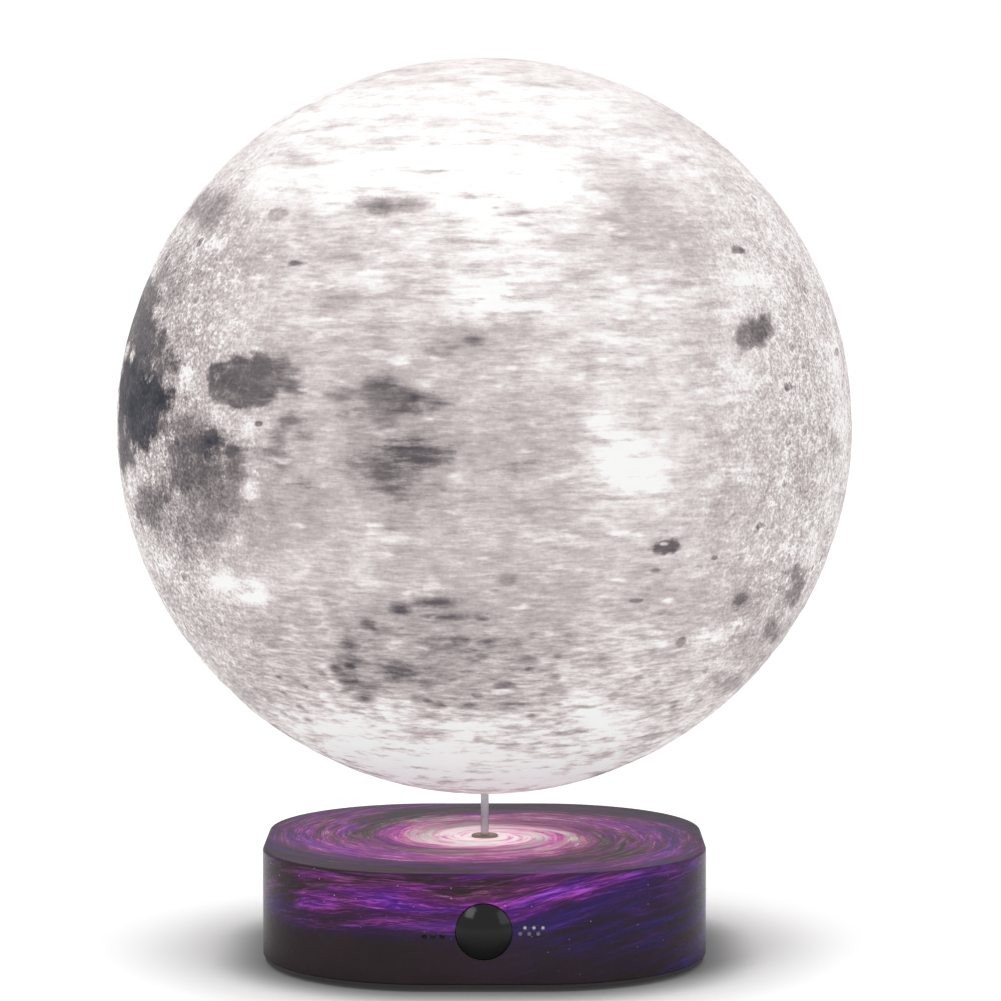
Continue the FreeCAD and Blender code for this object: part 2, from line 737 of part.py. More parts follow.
bush_top = base_height + top_bush_flange_thickness
spindle_room = cylinder(spindle_radius + running_clearance, 0, bush_top + over)
parts["gear_motor"] = make_motor()
parts["chassis"] = make_chassis()
parts["idler_pin"] = cylinder(idler_pin_radius, chassis_bottom, ceiling - idler_pin_end_gap, idler_at)
parts["motor_screws"] = small_screws(lifted(motor_ears_at, chassis_bottom - motor_ear_thickness),
                                     motor_ear_thickness + chassis_thickness)
parts["chassis_screws"] = small_screws(lifted(chassis_points, chassis_bottom))
parts["lower_bush"] = make_lower_bush()
parts["thrust_washer"] = tube(washer_radius, spindle_radius + washer_play, washer_bottom,
                              collar_bottom - washer_gap)
parts["top_bush"] = make_top_bush()
parts["side_brush"], parts["end_brush"] = make_brushes()
parts["brush_carrier"] = tube(brush_carrier_outer, brush_carrier_inner, carrier_bottom, tower_bottom).cut(
    [parts["side_brush"], parts["end_brush"]])


# ================================================================ base housing
def dots(row):
    """The three places of a row of dots on the front, from its first one."""
    return [(row[0] + i * dot_pitch, panel_height + row[1]) for i in range(3)]


def front_rounds(radius, places, front, back):
    return [cylinder_y(radius, front, back, x, z) for x, z in places]


def make_housing():
    body = rounded_block(base_half, base_corner, seam_height, base_height)
    body = body.makeFillet(top_edge_round, ring_edges(body, True, base_height))
    body = body.makeChamfer(seam_chamfer, ring_edges(body, False, seam_height))
    body = body.cut(rounded_block(inner_half, inner_corner, seam_height - over, ceiling))
    roof = ceiling + bite
    pilot_top = head_seat + housing_screw_length + screw_end_room
    bosses = uprights(boss_radius, floor_top, roof, boss_points)
    posts = uprights(chassis_post_radius, chassis_top, roof, chassis_points)
    posts += front_rounds(panel_post_radius, panel_post_places, front_inner - bite, panel_board_front)
    outside, inside = -base_half - over, front_inner + over
    panel_pilot_end = panel_board_front + board_thickness - small_screw_length - screw_end_room
    cuts = uprights(boss_pilot_radius, floor_top - over, pilot_top, boss_points)
    chassis_pilot_top = chassis_bottom + small_screw_length + screw_end_room
    cuts += uprights(small_shank_radius, chassis_top - over, chassis_pilot_top, chassis_points)
    cuts += front_rounds(small_shank_radius, panel_post_places, panel_pilot_end, panel_board_front + over)
    cuts.append(cylinder(top_bush_radius, ceiling - over, base_height + over))
    cuts.append(cylinder_y(button_radius + button_gap, outside, inside, 0, panel_height))
    cuts += front_rounds(dot_hole_radius, dots(lit_row) + dots(dim_row) + dots(sensor_row), outside, inside)
    cuts.append(slot_y(inlet_width + 2 * inlet_clearance, inlet_height + 2 * inlet_clearance,
                       rear_inner - over, base_half + over, inlet_centre))
    return body.fuse(bosses + posts).cut(cuts).removeSplitter()


def make_bottom_plate():
    rim = rounded_block(base_half - rim_inset, base_corner - rim_inset, plate_bottom, seam_height)
    spigot = rounded_block(inner_half - spigot_clearance, inner_corner - spigot_clearance,
                           seam_height, floor_top)
    standoffs = uprights(standoff_radius, floor_top - bite, board_bottom, standoff_points)
    cuts = uprights(foot_radius + foot_gap, plate_bottom - over, foot_seat, boss_points)
    cuts += uprights(screw_head_radius + head_room, foot_seat - bite, head_seat, boss_points)
    cuts += uprights(screw_hole_radius, foot_seat, floor_top + over, boss_points)
    cuts += uprights(small_shank_radius, board_bottom - standoff_pilot_depth, board_bottom + over,
                     standoff_points)
    return rim.fuse([spigot] + standoffs).cut(cuts).removeSplitter()


def make_feet():
    feet = []
    for p in boss_points:
        foot = cylinder(foot_radius, 0, foot_height, p)
        feet.append(foot.makeChamfer(foot_chamfer, ring_edges(foot, False, 0)))
    return Part.makeCompound(feet)


def make_ballast():
    left, right = ballast_left + ballast_corner, ballast_right - ballast_corner
    reach = ballast_length / 2 - ballast_corner
    front, back = ballast_shift - reach, ballast_shift + reach
    points = [V(left, front, 0), V(right, front, 0), V(right, back, 0), V(left, back, 0)]
    return rounded_plate(points, ballast_corner, floor_top, floor_top + ballast_thickness)


boss_points = corners(boss_offset)
panel_post_places = [(side * panel_post[0], panel_post[1]) for side in BOTH]
foot_seat = plate_bottom + foot_recess
head_seat = foot_seat + screw_head_height + head_sink
standoff_points = [V(side * standoff_x, y, 0) for side in BOTH
                   for y in (board_front + standoff_inset, board_rear - standoff_inset)]
parts["base_housing"] = make_housing()
parts["bottom_plate"] = make_bottom_plate()
parts["housing_screws"] = Part.makeCompound([
    screw(p + UP * head_seat, screw_head_radius, screw_head_height, screw_shank_radius - fit_clearance,
          housing_screw_length) for p in boss_points])
parts["rubber_feet"] = make_feet()
parts["ballast_plate"] = make_ballast()


# ================================================================ front panel
def make_button():
    """Domed cap, a flange that stops it behind the wall, and a stem that meets the plunger."""
    face = -base_half
    ball = (button_radius ** 2 + button_dome ** 2) / (2 * button_dome)
    dome = Part.makeSphere(ball, V(0, face - button_dome + ball, panel_height))
    dome = dome.common(cylinder_y(button_radius, face - button_dome - over, face + bite, 0, panel_height))
    flange_front = front_inner + flange_gap
    flange_back = flange_front + button_flange_thickness
    body = cylinder_y(button_radius, face, flange_back, 0, panel_height)
    flange = cylinder_y(button_flange_radius, flange_front, flange_back, 0, panel_height)
    stem = cylinder_y(button_stem_radius, flange_back, plunger_front, 0, panel_height)
    return dome.fuse([body, flange, stem]).removeSplitter()


def make_switch():
    half = switch_size / 2
    body = box(-half, half, switch_front, panel_board_front, panel_height - half, panel_height + half)
    room_end = plunger_front + plunger_length + button_travel + plunger_end_room
    room = cylinder_y(plunger_radius + plunger_clearance, switch_front - over, room_end, 0, panel_height)
    return body.cut(room)


def behind_front_wall(shape):
    """The part of a shape that stays clear of the housing's walls, which curve in at the corners."""
    room = rounded_block(inner_half - light_bar_gap, inner_corner - light_bar_gap, floor_top, ceiling)
    return shape.common(room)


def make_light_pipe():
    """Six clear pins, one for each indicator dot, on one moulded bar."""
    front = -base_half - dot_proud
    back = panel_board_front - panel_led_height - light_pipe_end_gap
    xs, zs = zip(*dot_places)
    grow = dot_radius + light_bar_margin
    left = max(min(xs) - grow, button_flange_radius + light_bar_play)
    bar_back = front_inner + light_bar_gap + light_bar_depth
    bar = box(left, max(xs) + grow, front_inner, bar_back, min(zs) - grow, max(zs) + grow)
    return behind_front_wall(bar).fuse(front_rounds(dot_radius, dot_places, front, back)).removeSplitter()


def make_panel_leds():
    w, h = panel_led_size
    front = panel_board_front - panel_led_height
    return Part.makeCompound([box(x - w / 2, x + w / 2, front, panel_board_front, z - h / 2, z + h / 2)
                              for x, z in dot_places])


def make_panel_board():
    half_width, half_height = panel_board_width / 2, panel_board_height / 2
    back = panel_board_front + board_thickness
    board = box(-half_width, half_width, panel_board_front, back, panel_height - half_height,
                panel_height + half_height)
    front = panel_board_front - over
    return board.cut(front_rounds(small_hole_radius, panel_post_places, front, back + over))


def make_gasket():
    """Soft ring that seals the sound sensor to the wall round its three holes."""
    x, z = microphone_place
    bore = microphone_radius - gasket_wall
    ring = behind_front_wall(cylinder_y(microphone_radius, front_inner, microphone_front, x, z))
    return ring.cut(cylinder_y(bore, front_inner - over, microphone_front + over, x, z))


switch_front = panel_board_front - switch_height
plunger_front = switch_front - button_travel - switch_stand_off
dot_places = dots(lit_row) + dots(dim_row)
microphone_place = dots(sensor_row)[1]
microphone_front = panel_board_front - microphone_height
parts["button_cap"] = make_button()
parts["switch_plunger"] = cylinder_y(plunger_radius, plunger_front, plunger_front + plunger_length,
                                     0, panel_height)
parts["tact_switch"] = make_switch()
parts["light_pipe"] = make_light_pipe()
parts["indicator_leds"] = make_panel_leds()
parts["panel_board"] = make_panel_board()
panel_back = panel_board_front + board_thickness
parts["panel_screws"] = small_screws([V(x, panel_back, z) for x, z in panel_post_places], direction=FRONT)
parts["microphone"] = cylinder_y(microphone_radius, microphone_front, panel_board_front, *microphone_place)
parts["microphone_gasket"] = make_gasket()


# ================================================================ main board and power inlet
def make_main_board():
    half = main_board_width / 2
    plate = box(-half, half, board_front, board_rear, board_bottom, board_top)
    upright = [e for e in plate.Edges if e.BoundBox.ZLength > board_thickness / 2]
    plate = plate.makeFillet(main_board_corner, upright)
    return plate.cut(uprights(small_hole_radius, board_bottom - over, board_top + over, standoff_points))


def make_inlet():
    inner_end = inlet_mouth - inlet_length
    outside = slot_y(inlet_width, inlet_height, inner_end, inlet_mouth, inlet_centre)
    inside = slot_y(inlet_width - 2 * inlet_wall, inlet_height - 2 * inlet_wall,
                    inner_end + inlet_back_wall, inlet_mouth + over, inlet_centre)
    return outside.cut(inside)


def make_tongue():
    half, rise = inlet_tongue_width / 2, inlet_tongue_height / 2
    return box(-half, half, inlet_mouth - inlet_length + inlet_back_wall, inlet_mouth - inlet_tongue_recess,
               inlet_centre - rise, inlet_centre + rise)


def make_components():
    """Plugs, chips and a capacitor on the main board: x, y, then length, width and height."""
    plugs = [(x, plug_reach + plug_size[1] / 2) + plug_size for x in (panel_plug, brush_plug, motor_plug)]
    chips = [(-12.0, 14.0, 7.0, 7.0, 1.2), (0.0, 12.0, 6.0, 4.4, 1.4), (10.0, 13.0, 5.0, 5.0, 3.0),
             (-4.0, 17.0, 3.2, 1.6, 0.9), (5.0, 17.5, 3.2, 1.6, 0.9)]
    made = []
    for x, y, length, width, height in plugs + chips:
        y0 = board_front + y
        made.append(box(x - length / 2, x + length / 2, y0 - width / 2, y0 + width / 2,
                        board_top, board_top + height))
    x, y = capacitor_at
    made.append(cylinder(capacitor_radius, board_top, board_top + capacitor_height, V(x, board_front + y, 0)))
    return Part.makeCompound(made)


def lead(points, radius):
    """Round lead along straight runs joined by tangent arcs."""
    edges = []
    start = points[0]
    for i in range(1, len(points) - 1):
        before, corner, after = points[i - 1], points[i], points[i + 1]
        into, out = (corner - before), (after - corner)
        tangent = bend_share * min(into.Length, out.Length)
        half_turn = into.getAngle(out) / 2
        into.normalize()
        out.normalize()
        first, last = corner - into * tangent, corner + out * tangent
        bend = tangent / math.tan(half_turn)
        towards = (out - into).normalize()
        centre = corner + towards * (bend / math.cos(half_turn))
        edges.append(Part.LineSegment(start, first).toShape())
        edges.append(Part.Arc(first, centre - towards * bend, last).toShape())
        start = last
    edges.append(Part.LineSegment(start, points[-1]).toShape())
    profile = Part.Wire(Part.makeCircle(radius, points[0], points[1] - points[0]))
    return Part.Wire(edges).makePipeShell([profile], True, False)


def leads(count, route):
    """Flat row of equal leads that follow one route side by side."""
    shifts = [(i - (count - 1) / 2) * inner_lead_pitch for i in range(count)]
    route = [route[0], route[0] + BACK * lead_stub] + route[1:-1] + [route[-1] - BACK * lead_stub, route[-1]]
    return Part.makeCompound([lead([p + V(x, 0, 0) for p in route], inner_lead_radius) for x in shifts])


parts["main_board"] = make_main_board()
parts["power_inlet"] = make_inlet()
parts["inlet_tongue"] = make_tongue()
parts["board_components"] = make_components()
parts["board_screws"] = small_screws(lifted(standoff_points, board_top), direction=DOWN)
plug_face = board_front + plug_reach
plug_height = board_top + plug_size[2] / 2
low = floor_top + inner_lead_lift
climb = plug_face - lead_climb
parts["motor_leads"] = leads(supply_lead_count, [
    V(motor_plug, terminal_face, terminal_height), V(motor_plug, terminal_face + motor_lead_drop, low),
    V(motor_plug, climb, low), V(motor_plug, plug_face, plug_height)])
parts["brush_leads"] = leads(supply_lead_count, [
    V(brush_plug, brush_carrier_outer, low + brush_lead_rise), V(brush_plug, climb, low),
    V(brush_plug, plug_face, plug_height)])
parts["panel_leads"] = leads(panel_lead_count, [
    V(panel_plug, panel_back, panel_lead_height), V(panel_plug, panel_back + panel_lead_drop, low),
    V(panel_plug, climb, low), V(panel_plug, plug_face, plug_height)])

# ================================================================ write the pieces
os.makedirs("parts", exist_ok=True)
for name, shape in parts.items():
    shape.exportStep("parts/" + name + ".step")
    print(f"{name:20s} solids {len(shape.Solids)}  volume {shape.Volume:10.1f}  valid {shape.isValid()}")
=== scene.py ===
# %% [markdown]
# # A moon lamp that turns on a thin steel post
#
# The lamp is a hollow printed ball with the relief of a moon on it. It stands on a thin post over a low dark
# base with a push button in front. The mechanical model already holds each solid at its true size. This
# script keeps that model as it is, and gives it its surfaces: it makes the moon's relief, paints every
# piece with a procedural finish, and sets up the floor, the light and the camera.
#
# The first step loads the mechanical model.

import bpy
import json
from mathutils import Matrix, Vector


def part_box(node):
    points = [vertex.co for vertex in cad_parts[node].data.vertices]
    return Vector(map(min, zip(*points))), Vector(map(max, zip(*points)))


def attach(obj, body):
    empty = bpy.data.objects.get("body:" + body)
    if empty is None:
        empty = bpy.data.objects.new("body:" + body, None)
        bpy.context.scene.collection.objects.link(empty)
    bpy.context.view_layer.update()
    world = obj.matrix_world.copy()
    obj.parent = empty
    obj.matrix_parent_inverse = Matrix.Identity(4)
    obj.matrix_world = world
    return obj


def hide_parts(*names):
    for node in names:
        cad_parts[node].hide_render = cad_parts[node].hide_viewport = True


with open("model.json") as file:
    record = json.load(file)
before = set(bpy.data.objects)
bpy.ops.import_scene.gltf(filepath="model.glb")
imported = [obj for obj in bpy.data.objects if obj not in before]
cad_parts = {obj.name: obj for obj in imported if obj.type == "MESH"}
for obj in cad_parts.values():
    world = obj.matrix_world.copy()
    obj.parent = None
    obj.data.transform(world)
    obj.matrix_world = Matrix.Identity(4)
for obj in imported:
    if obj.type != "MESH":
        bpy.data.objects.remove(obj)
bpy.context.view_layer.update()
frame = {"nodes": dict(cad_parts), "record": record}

# %% What the script uses
import json
import math

import bpy
import numpy as np
from mathutils import Vector

MM = 0.001
print("Blender", bpy.app.version_string)

# %% [markdown]
# ## The camera
#
# The camera comes first, because some of the moon's marks are placed through it. Its height, tilt and lens
# were found by fitting the ball and the edges of the base in the picture. A long lens a little above the
# base shows a narrow strip of the base's top, as the picture does.

# %% Camera
frame_pixels = 1001
focal_pixels = 3670.0
camera_tilt = 0.0714

camera_data = bpy.data.cameras.new("camera")
camera = bpy.data.objects.new("camera", camera_data)
bpy.context.scene.collection.objects.link(camera)
camera.location = (0.0039, -0.9, 0.1757)
camera.rotation_euler = (math.pi / 2 - camera_tilt, 0, 0)
camera_data.sensor_width = 36
camera_data.lens = 36 * focal_pixels / frame_pixels
camera_data.clip_start = 0.05
bpy.context.scene.camera = camera
bpy.context.view_layer.update()
print("lens", round(camera_data.lens, 1), "mm")

# %% [markdown]
# ## Floor, surroundings and light
#
# The lamp is shown on a white ground in plain studio light. Brighter lights would bleach the pale ball, so
# the white comes from the ground instead: to the camera, and in reflections, the surroundings shine with a
# strength of one, which is white, while on the lamp itself they shine with about half of that. The floor is
# matt, so it takes the shadow, and right beside the base its colour is darkened as well, a painted contact
# shadow. To the camera it also glows, weakly near the lamp and more with the distance, so the shadow is dark
# round the base and the far floor is white. A white backdrop with lights of its own would do as well, but
# those lights would fall on the ball too.
#
# The nodes of floor, surroundings and finishes are written as sums in Python. One small class makes that
# possible: it holds a socket, and each sum adds the node that works it out.

# %% Sums with shader sockets
class Wire:
    """A socket of a shader tree that can be used in Python sums."""

    def __init__(self, tree, socket=None):
        self.tree, self.socket = tree, socket

    def add(self, kind, settings=(), inputs=(), output=0):
        """Adds a node of any kind: its settings first, then the values or links of its sockets."""
        node = self.tree.nodes.new(kind)
        for name, value in dict(settings).items():
            if name == "stops":
                ramp = node.color_ramp.elements
                while len(ramp) < len(value):
                    ramp.new(0.5)
                for stop, (place, colour) in zip(ramp, value):
                    stop.position, stop.color = place, colour
            else:
                setattr(node, name, value)
        for name, value in dict(inputs).items():
            if isinstance(value, Wire):
                self.tree.links.new(value.socket, node.inputs[name])
            else:
                node.inputs[name].default_value = value
        return Wire(self.tree, node.outputs[output])

    def maths(self, operation, *values):
        """A Math node on these values."""
        return self.add("ShaderNodeMath", {"operation": operation}, enumerate(values))

    def __add__(self, other):
        return self.maths("ADD", self, other)

    def __sub__(self, other):
        return self.maths("SUBTRACT", self, other)

    def __rsub__(self, other):
        return self.maths("SUBTRACT", other, self)

    def __mul__(self, other):
        return self.maths("MULTIPLY", self, other)

    def __truediv__(self, other):
        return self.maths("DIVIDE", self, other)

    def __rtruediv__(self, other):
        return self.maths("DIVIDE", other, self)

    __radd__ = __add__
    __rmul__ = __mul__

    def limit(self):
        """The value kept between 0 and 1."""
        return self.add("ShaderNodeClamp", {}, {"Value": self})

    def rise(self, low, high):
        """0 below low, 1 above high, and a smooth step between."""
        return self.add("ShaderNodeMapRange", {"interpolation_type": "SMOOTHSTEP"},
                        {"Value": self, "From Min": low, "From Max": high})

    def vector(self, operation, *values, output=0):
        """A Vector Math node on these values. Its output 1 is a plain number, such as a length."""
        return self.add("ShaderNodeVectorMath", {"operation": operation}, enumerate(values), output)

    def part(self, axis):
        """The x, y or z part of a vector."""
        return self.add("ShaderNodeSeparateXYZ", {}, {"Vector": self}, "XYZ".index(axis))

    def mapped(self, scale=(1, 1, 1), move=(0, 0, 0)):
        """The coordinates moved and scaled."""
        return self.add("ShaderNodeMapping", {}, {"Vector": self, "Location": move, "Scale": scale})

    def noise(self, scale, detail=3.0, roughness=0.55, distortion=0.0):
        """Cloudy noise from 0 to 1 over these coordinates."""
        return self.add("ShaderNodeTexNoise", {}, {"Vector": self, "Scale": scale, "Detail": detail,
                                                   "Roughness": roughness, "Distortion": distortion})

    def cells(self, scale, output=0):
        """Voronoi cells: the distance to a cell's centre, or its colour with output 1."""
        return self.add("ShaderNodeTexVoronoi", {}, {"Vector": self, "Scale": scale}, output)

    def blend(self, low, high):
        """A mix of two colours, with this value as its share of the second."""
        return self.add("ShaderNodeMix", {"data_type": "RGBA"}, {0: self.limit(), 6: low, 7: high}, 2)

    def ramp(self, *stops):
        """A colour for this value, from stops that are each a place and a colour."""
        return self.add("ShaderNodeValToRGB", {"stops": stops}, {0: self})

    def bump(self, distance, strength=1.0):
        """A bump with this value as its height, and its full height in metres."""
        return self.add("ShaderNodeBump", {}, {"Height": self, "Distance": distance, "Strength": strength})

    def show(self, kind="ShaderNodeOutputMaterial"):
        """Connects this shader to the tree's output."""
        self.tree.links.new(self.socket, self.tree.nodes.new(kind).inputs["Surface"])


def colour(red, green, blue):
    """A colour as seen on a screen, 0 to 255, as the linear colour that a shader takes."""
    def linear(v):
        v = v / 255
        return v / 12.92 if v <= 0.04045 else ((v + 0.055) / 1.055) ** 2.4
    return (linear(red), linear(green), linear(blue), 1.0)


# %% Rays that see white
def white_rays(wire):
    """1 for the rays that should find a white ground: the camera's, and those in gloss or through glass."""
    kinds = [wire.add("ShaderNodeLightPath", output=name)
             for name in ("Is Camera Ray", "Is Glossy Ray", "Is Transmission Ray")]
    return (kinds[0] + kinds[1] + kinds[2]).limit()


# %% Floor
floor_shade = 0.96
base_corner = 0.041
near_glow, ring_glow, far_glow = 0.04, 0.32, 0.60

bpy.ops.object.select_all(action="DESELECT")
bpy.ops.mesh.primitive_plane_add(size=600)
floor = bpy.context.object
floor.name = "floor"

floor_material = bpy.data.materials.new("white floor")
floor_material.use_nodes = True
tree = floor_material.node_tree
tree.nodes.clear()
wire = Wire(tree)
spot = wire.add("ShaderNodeTexCoord", output="Object")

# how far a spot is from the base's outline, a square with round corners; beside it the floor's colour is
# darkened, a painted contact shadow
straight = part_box("base_housing")[1].x - base_corner
mirrored = spot.vector("ABSOLUTE", spot)
past = mirrored.vector("SUBTRACT", mirrored, (straight, straight, 0))
past = past.vector("MAXIMUM", past, (0, 0, 0))
beside = past.vector("LENGTH", past, output=1) - base_corner
# painted contact shadow: the floor's colour goes down to about a third right beside the base
painted_contact_shadow = 0.35 + beside.rise(-0.002, 0.016) * 0.65
matt = wire.add("ShaderNodeBsdfDiffuse", {}, {"Color": painted_contact_shadow * floor_shade})

# the glow grows with the distance from the middle
distance = spot.vector("LENGTH", spot, output=1)
glow_level = (near_glow + distance.rise(0.055, 0.098) * (ring_glow - near_glow)
              + distance.rise(0.1, 1.6) * (far_glow - ring_glow))
glow = wire.add("ShaderNodeEmission", {}, {"Color": glow_level, "Strength": white_rays(wire)})
wire.add("ShaderNodeAddShader", {}, {0: matt, 1: glow}).show()
floor.data.materials.append(floor_material)
print("floor:", round(floor.dimensions.x), "m wide")

# %% Surroundings
world_light = 0.48
world = bpy.data.worlds.new("studio")
bpy.context.scene.world = world
world.use_nodes = True
tree = world.node_tree
tree.nodes.clear()
wire = Wire(tree)
sky = wire.add("ShaderNodeBackground", {}, {
    "Color": (1, 1, 1, 1),
    "Strength": white_rays(wire) * (1 - world_light) + world_light,
})
sky.show("ShaderNodeOutputWorld")
bpy.context.scene.view_settings.view_transform = "Standard"
print("the surroundings light the lamp with", world_light)

# %% [markdown]
# Three soft area lights give the lamp a little form. The one on the left is also the window-like patch that
# the glossy button mirrors, and the one above puts the soft shadow of the ball round the base. Large lights
# at a plain level were chosen, because a small or strong one would leave a hot spot on the ball.

# %% Soft lamps
lamp_middle = Vector((0, 0, 0.09))


def soft_lamp(name, place, size, power):
    """An area light of this size in metres, turned towards the middle of the lamp."""
    light = bpy.data.lights.new(name, "AREA")
    light.shape, light.size, light.size_y = "RECTANGLE", size[0], size[1]
    light.energy = power
    lamp = bpy.data.objects.new(name, light)
    bpy.context.scene.collection.objects.link(lamp)
    lamp.location = place
    lamp.rotation_euler = (lamp_middle - Vector(place)).to_track_quat("-Z", "Y").to_euler()


soft_lamp("lamp_left", (-0.85, -0.95, 1.0), (0.6, 0.7), 5.0)
soft_lamp("lamp_right", (1.1, -0.7, 0.6), (0.8, 0.8), 2.5)
soft_lamp("lamp_above", (0.05, 0.0, 1.35), (0.7, 0.7), 5.5)
print("three soft lamps")

# %% [markdown]
# ## Where the marks of the moon are
#
# The relief and the tones of the ball follow what the picture shows: dark plains, bright clouds and
# craters. A mark is written down by its place in the picture, and a line of sight from the camera through
# that place meets the ball at the point where the mark belongs. Marks near the rim of the disc come out long
# on the ball and look right from the front. They could be written as longitude and latitude instead, but a
# place in the picture can be checked by looking.

# %% From a place in the picture to a point on the ball
ball_low, ball_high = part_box("moon_shell")
ball_radius = (ball_high.x - ball_low.x) / 2
ball_centre = Vector((0, 0, ball_high.z - ball_radius))
camera_turn = camera.matrix_world.to_3x3()


def sight(x, y):
    """The point of the ball that is seen at x, y of the picture."""
    middle = frame_pixels / 2
    along = (camera_turn @ Vector((x - middle, middle - y, -focal_pixels))).normalized()
    offset = camera.location - ball_centre
    half = along.dot(offset)
    inside = max(half * half - offset.length_squared + ball_radius ** 2, 0.0)
    return camera.location + along * (-half - math.sqrt(inside)) - ball_centre


print("ball radius", round(ball_radius / MM, 2), "centre height", round(ball_centre.z / MM, 2))

# %% [markdown]
# The tables hold the marks that are large enough for the mesh to carry them: their place in the picture,
# half their width and height there, and how strong they are. A plain has a softness as well, low for a crisp
# shore and high for a torn one. The clouds are broad tones with no shore at all, dark ones below zero.

# %% Tables of marks
dark_plains = (
    (241, 381, 38, 29, 0.63, 0.12), (276, 374, 16, 16, 0.62, 0.8), (292, 388, 9, 7, 0.60, 0.9),
    (284, 364, 8, 4, 0.50, 0.9), (130, 394, 20, 42, 1.00, 0.5), (152, 398, 24, 12, 1.00, 0.6),
    (138, 424, 22, 20, 0.92, 0.7), (124, 452, 8, 24, 0.70, 0.8), (135, 320, 12, 46, 0.72, 0.4),
    (146, 288, 8, 18, 0.60, 0.5), (158, 366, 10, 14, 0.46, 0.8), (180, 428, 22, 14, 0.36, 0.9),
    (190, 450, 30, 20, 0.60, 0.8), (208, 440, 20, 12, 0.90, 0.7), (228, 450, 18, 9, 0.66, 0.9),
    (204, 474, 30, 16, 0.60, 0.9), (234, 470, 22, 14, 0.40, 1.0), (178, 466, 14, 20, 0.46, 0.9),
    (214, 500, 26, 14, 0.34, 1.0), (148, 506, 12, 24, 0.46, 0.6), (204, 524, 26, 16, 0.30, 1.0),
    (204, 206, 18, 18, 0.34, 0.7), (168, 270, 14, 22, 0.30, 1.0), (757, 331, 16, 16, 0.61, 0.4),
    (290, 422, 15, 6, 0.56, 0.9), (276, 436, 10, 7, 0.52, 0.9), (304, 436, 12, 6, 0.36, 1.0),
    (268, 456, 13, 7, 0.42, 1.0), (282, 468, 8, 5, 0.34, 1.0), (340, 395, 14, 5, 0.40, 1.0),
    (800, 578, 9, 12, 0.56, 0.9), (794, 598, 9, 10, 0.44, 0.9), (774, 630, 8, 10, 0.36, 0.9),
    (740, 599, 11, 10, 0.40, 0.9), (728, 686, 14, 8, 0.34, 0.9), (834, 446, 6, 12, 0.36, 0.9),
    (382, 387, 20, 8, 0.52, 0.8), (372, 398, 14, 9, 0.44, 0.9), (408, 403, 38, 10, 0.54, 0.9),
    (408, 456, 30, 15, 0.70, 0.7), (388, 470, 26, 15, 0.50, 0.9), (396, 486, 28, 10, 0.48, 1.0),
    (392, 492, 16, 3, 0.54, 0.9), (378, 205, 20, 9, 0.72, 0.6), (400, 203, 24, 7, 0.64, 0.9),
)
clouds = (
    (455, 168, 130, 26, 0.22), (430, 150, 90, 16, 0.10), (500, 205, 50, 26, 0.18), (272, 180, 24, 16, 0.12),
    (498, 299, 24, 14, 0.36), (510, 296, 60, 26, 0.10), (636, 476, 24, 20, 0.28), (618, 450, 18, 20, 0.24),
    (600, 422, 16, 20, 0.16), (620, 452, 54, 50, 0.08), (236, 588, 48, 26, 0.13), (223, 581, 11, 10, 0.28),
    (251, 594, 13, 11, 0.32), (205, 566, 24, 10, 0.08), (246, 492, 10, 8, 0.30), (588, 702, 26, 14, 0.16),
    (604, 724, 34, 12, 0.14), (590, 742, 34, 9, 0.10), (714, 636, 16, 6, 0.18), (736, 628, 24, 5, 0.12),
    (735, 312, 16, 10, 0.10), (742, 278, 34, 14, 0.10), (842, 420, 10, 90, 0.10), (730, 385, 34, 12, 0.08),
    (320, 736, 60, 16, 0.12), (380, 768, 100, 18, 0.16), (520, 776, 130, 20, 0.20),
    (300, 112, 90, 40, 0.08), (470, 84, 180, 30, 0.06), (640, 150, 80, 30, 0.06), (184, 374, 8, 8, 0.32),
    (196, 392, 20, 22, 0.08), (128, 482, 8, 26, 0.12), (386, 538, 22, 7, 0.12), (424, 590, 24, 9, 0.10),
    (366, 582, 20, 6, 0.10), (560, 366, 60, 14, 0.07), (424, 386, 12, 6, 0.18), (600, 345, 70, 12, 0.08),
    (640, 300, 60, 14, 0.07), (165, 560, 16, 26, 0.06), (484, 630, 44, 7, 0.07), (300, 320, 60, 12, 0.08),
    (330, 280, 50, 12, 0.07), (520, 250, 70, 22, 0.08), (550, 540, 44, 12, 0.07), (486, 430, 24, 8, 0.06),
    (246, 424, 44, 12, 0.09), (218, 404, 12, 14, 0.10), (560, 110, 80, 20, 0.06), (480, 110, 300, 80, 0.06),
    (180, 440, 110, 190, -0.09), (490, 345, 54, 20, -0.12), (470, 336, 30, 8, -0.08),
    (470, 430, 110, 60, -0.06), (530, 480, 90, 40, -0.04), (430, 616, 90, 30, -0.13),
    (470, 660, 90, 34, -0.13), (400, 684, 60, 22, -0.07), (500, 560, 110, 30, -0.04),
    (640, 215, 60, 36, -0.08), (690, 240, 50, 30, -0.05), (600, 190, 50, 24, -0.05),
    (400, 440, 60, 60, -0.06), (220, 236, 50, 50, -0.06), (290, 250, 60, 30, -0.04),
    (262, 494, 50, 34, -0.06), (310, 520, 50, 34, -0.07), (250, 630, 60, 30, -0.05),
    (760, 590, 60, 46, -0.05), (640, 600, 70, 30, -0.05), (752, 646, 40, 40, -0.07),
    (560, 420, 50, 60, -0.04), (180, 560, 30, 40, -0.03), (240, 690, 50, 20, -0.05),
    (640, 128, 30, 8, -0.07), (512, 324, 24, 8, -0.08), (380, 690, 34, 10, -0.08),
    (350, 655, 20, 22, -0.06), (322, 420, 20, 6, -0.06), (476, 702, 110, 16, -0.09),
    (540, 650, 60, 40, -0.05),
)
cold_plains = (
    (136, 400, 30, 44, 1.0), (126, 430, 14, 40, 1.0), (208, 440, 24, 12, 0.7), (762, 330, 9, 12, 0.6),
)
print("marks:", len(dark_plains), "dark plains,", len(clouds), "clouds")

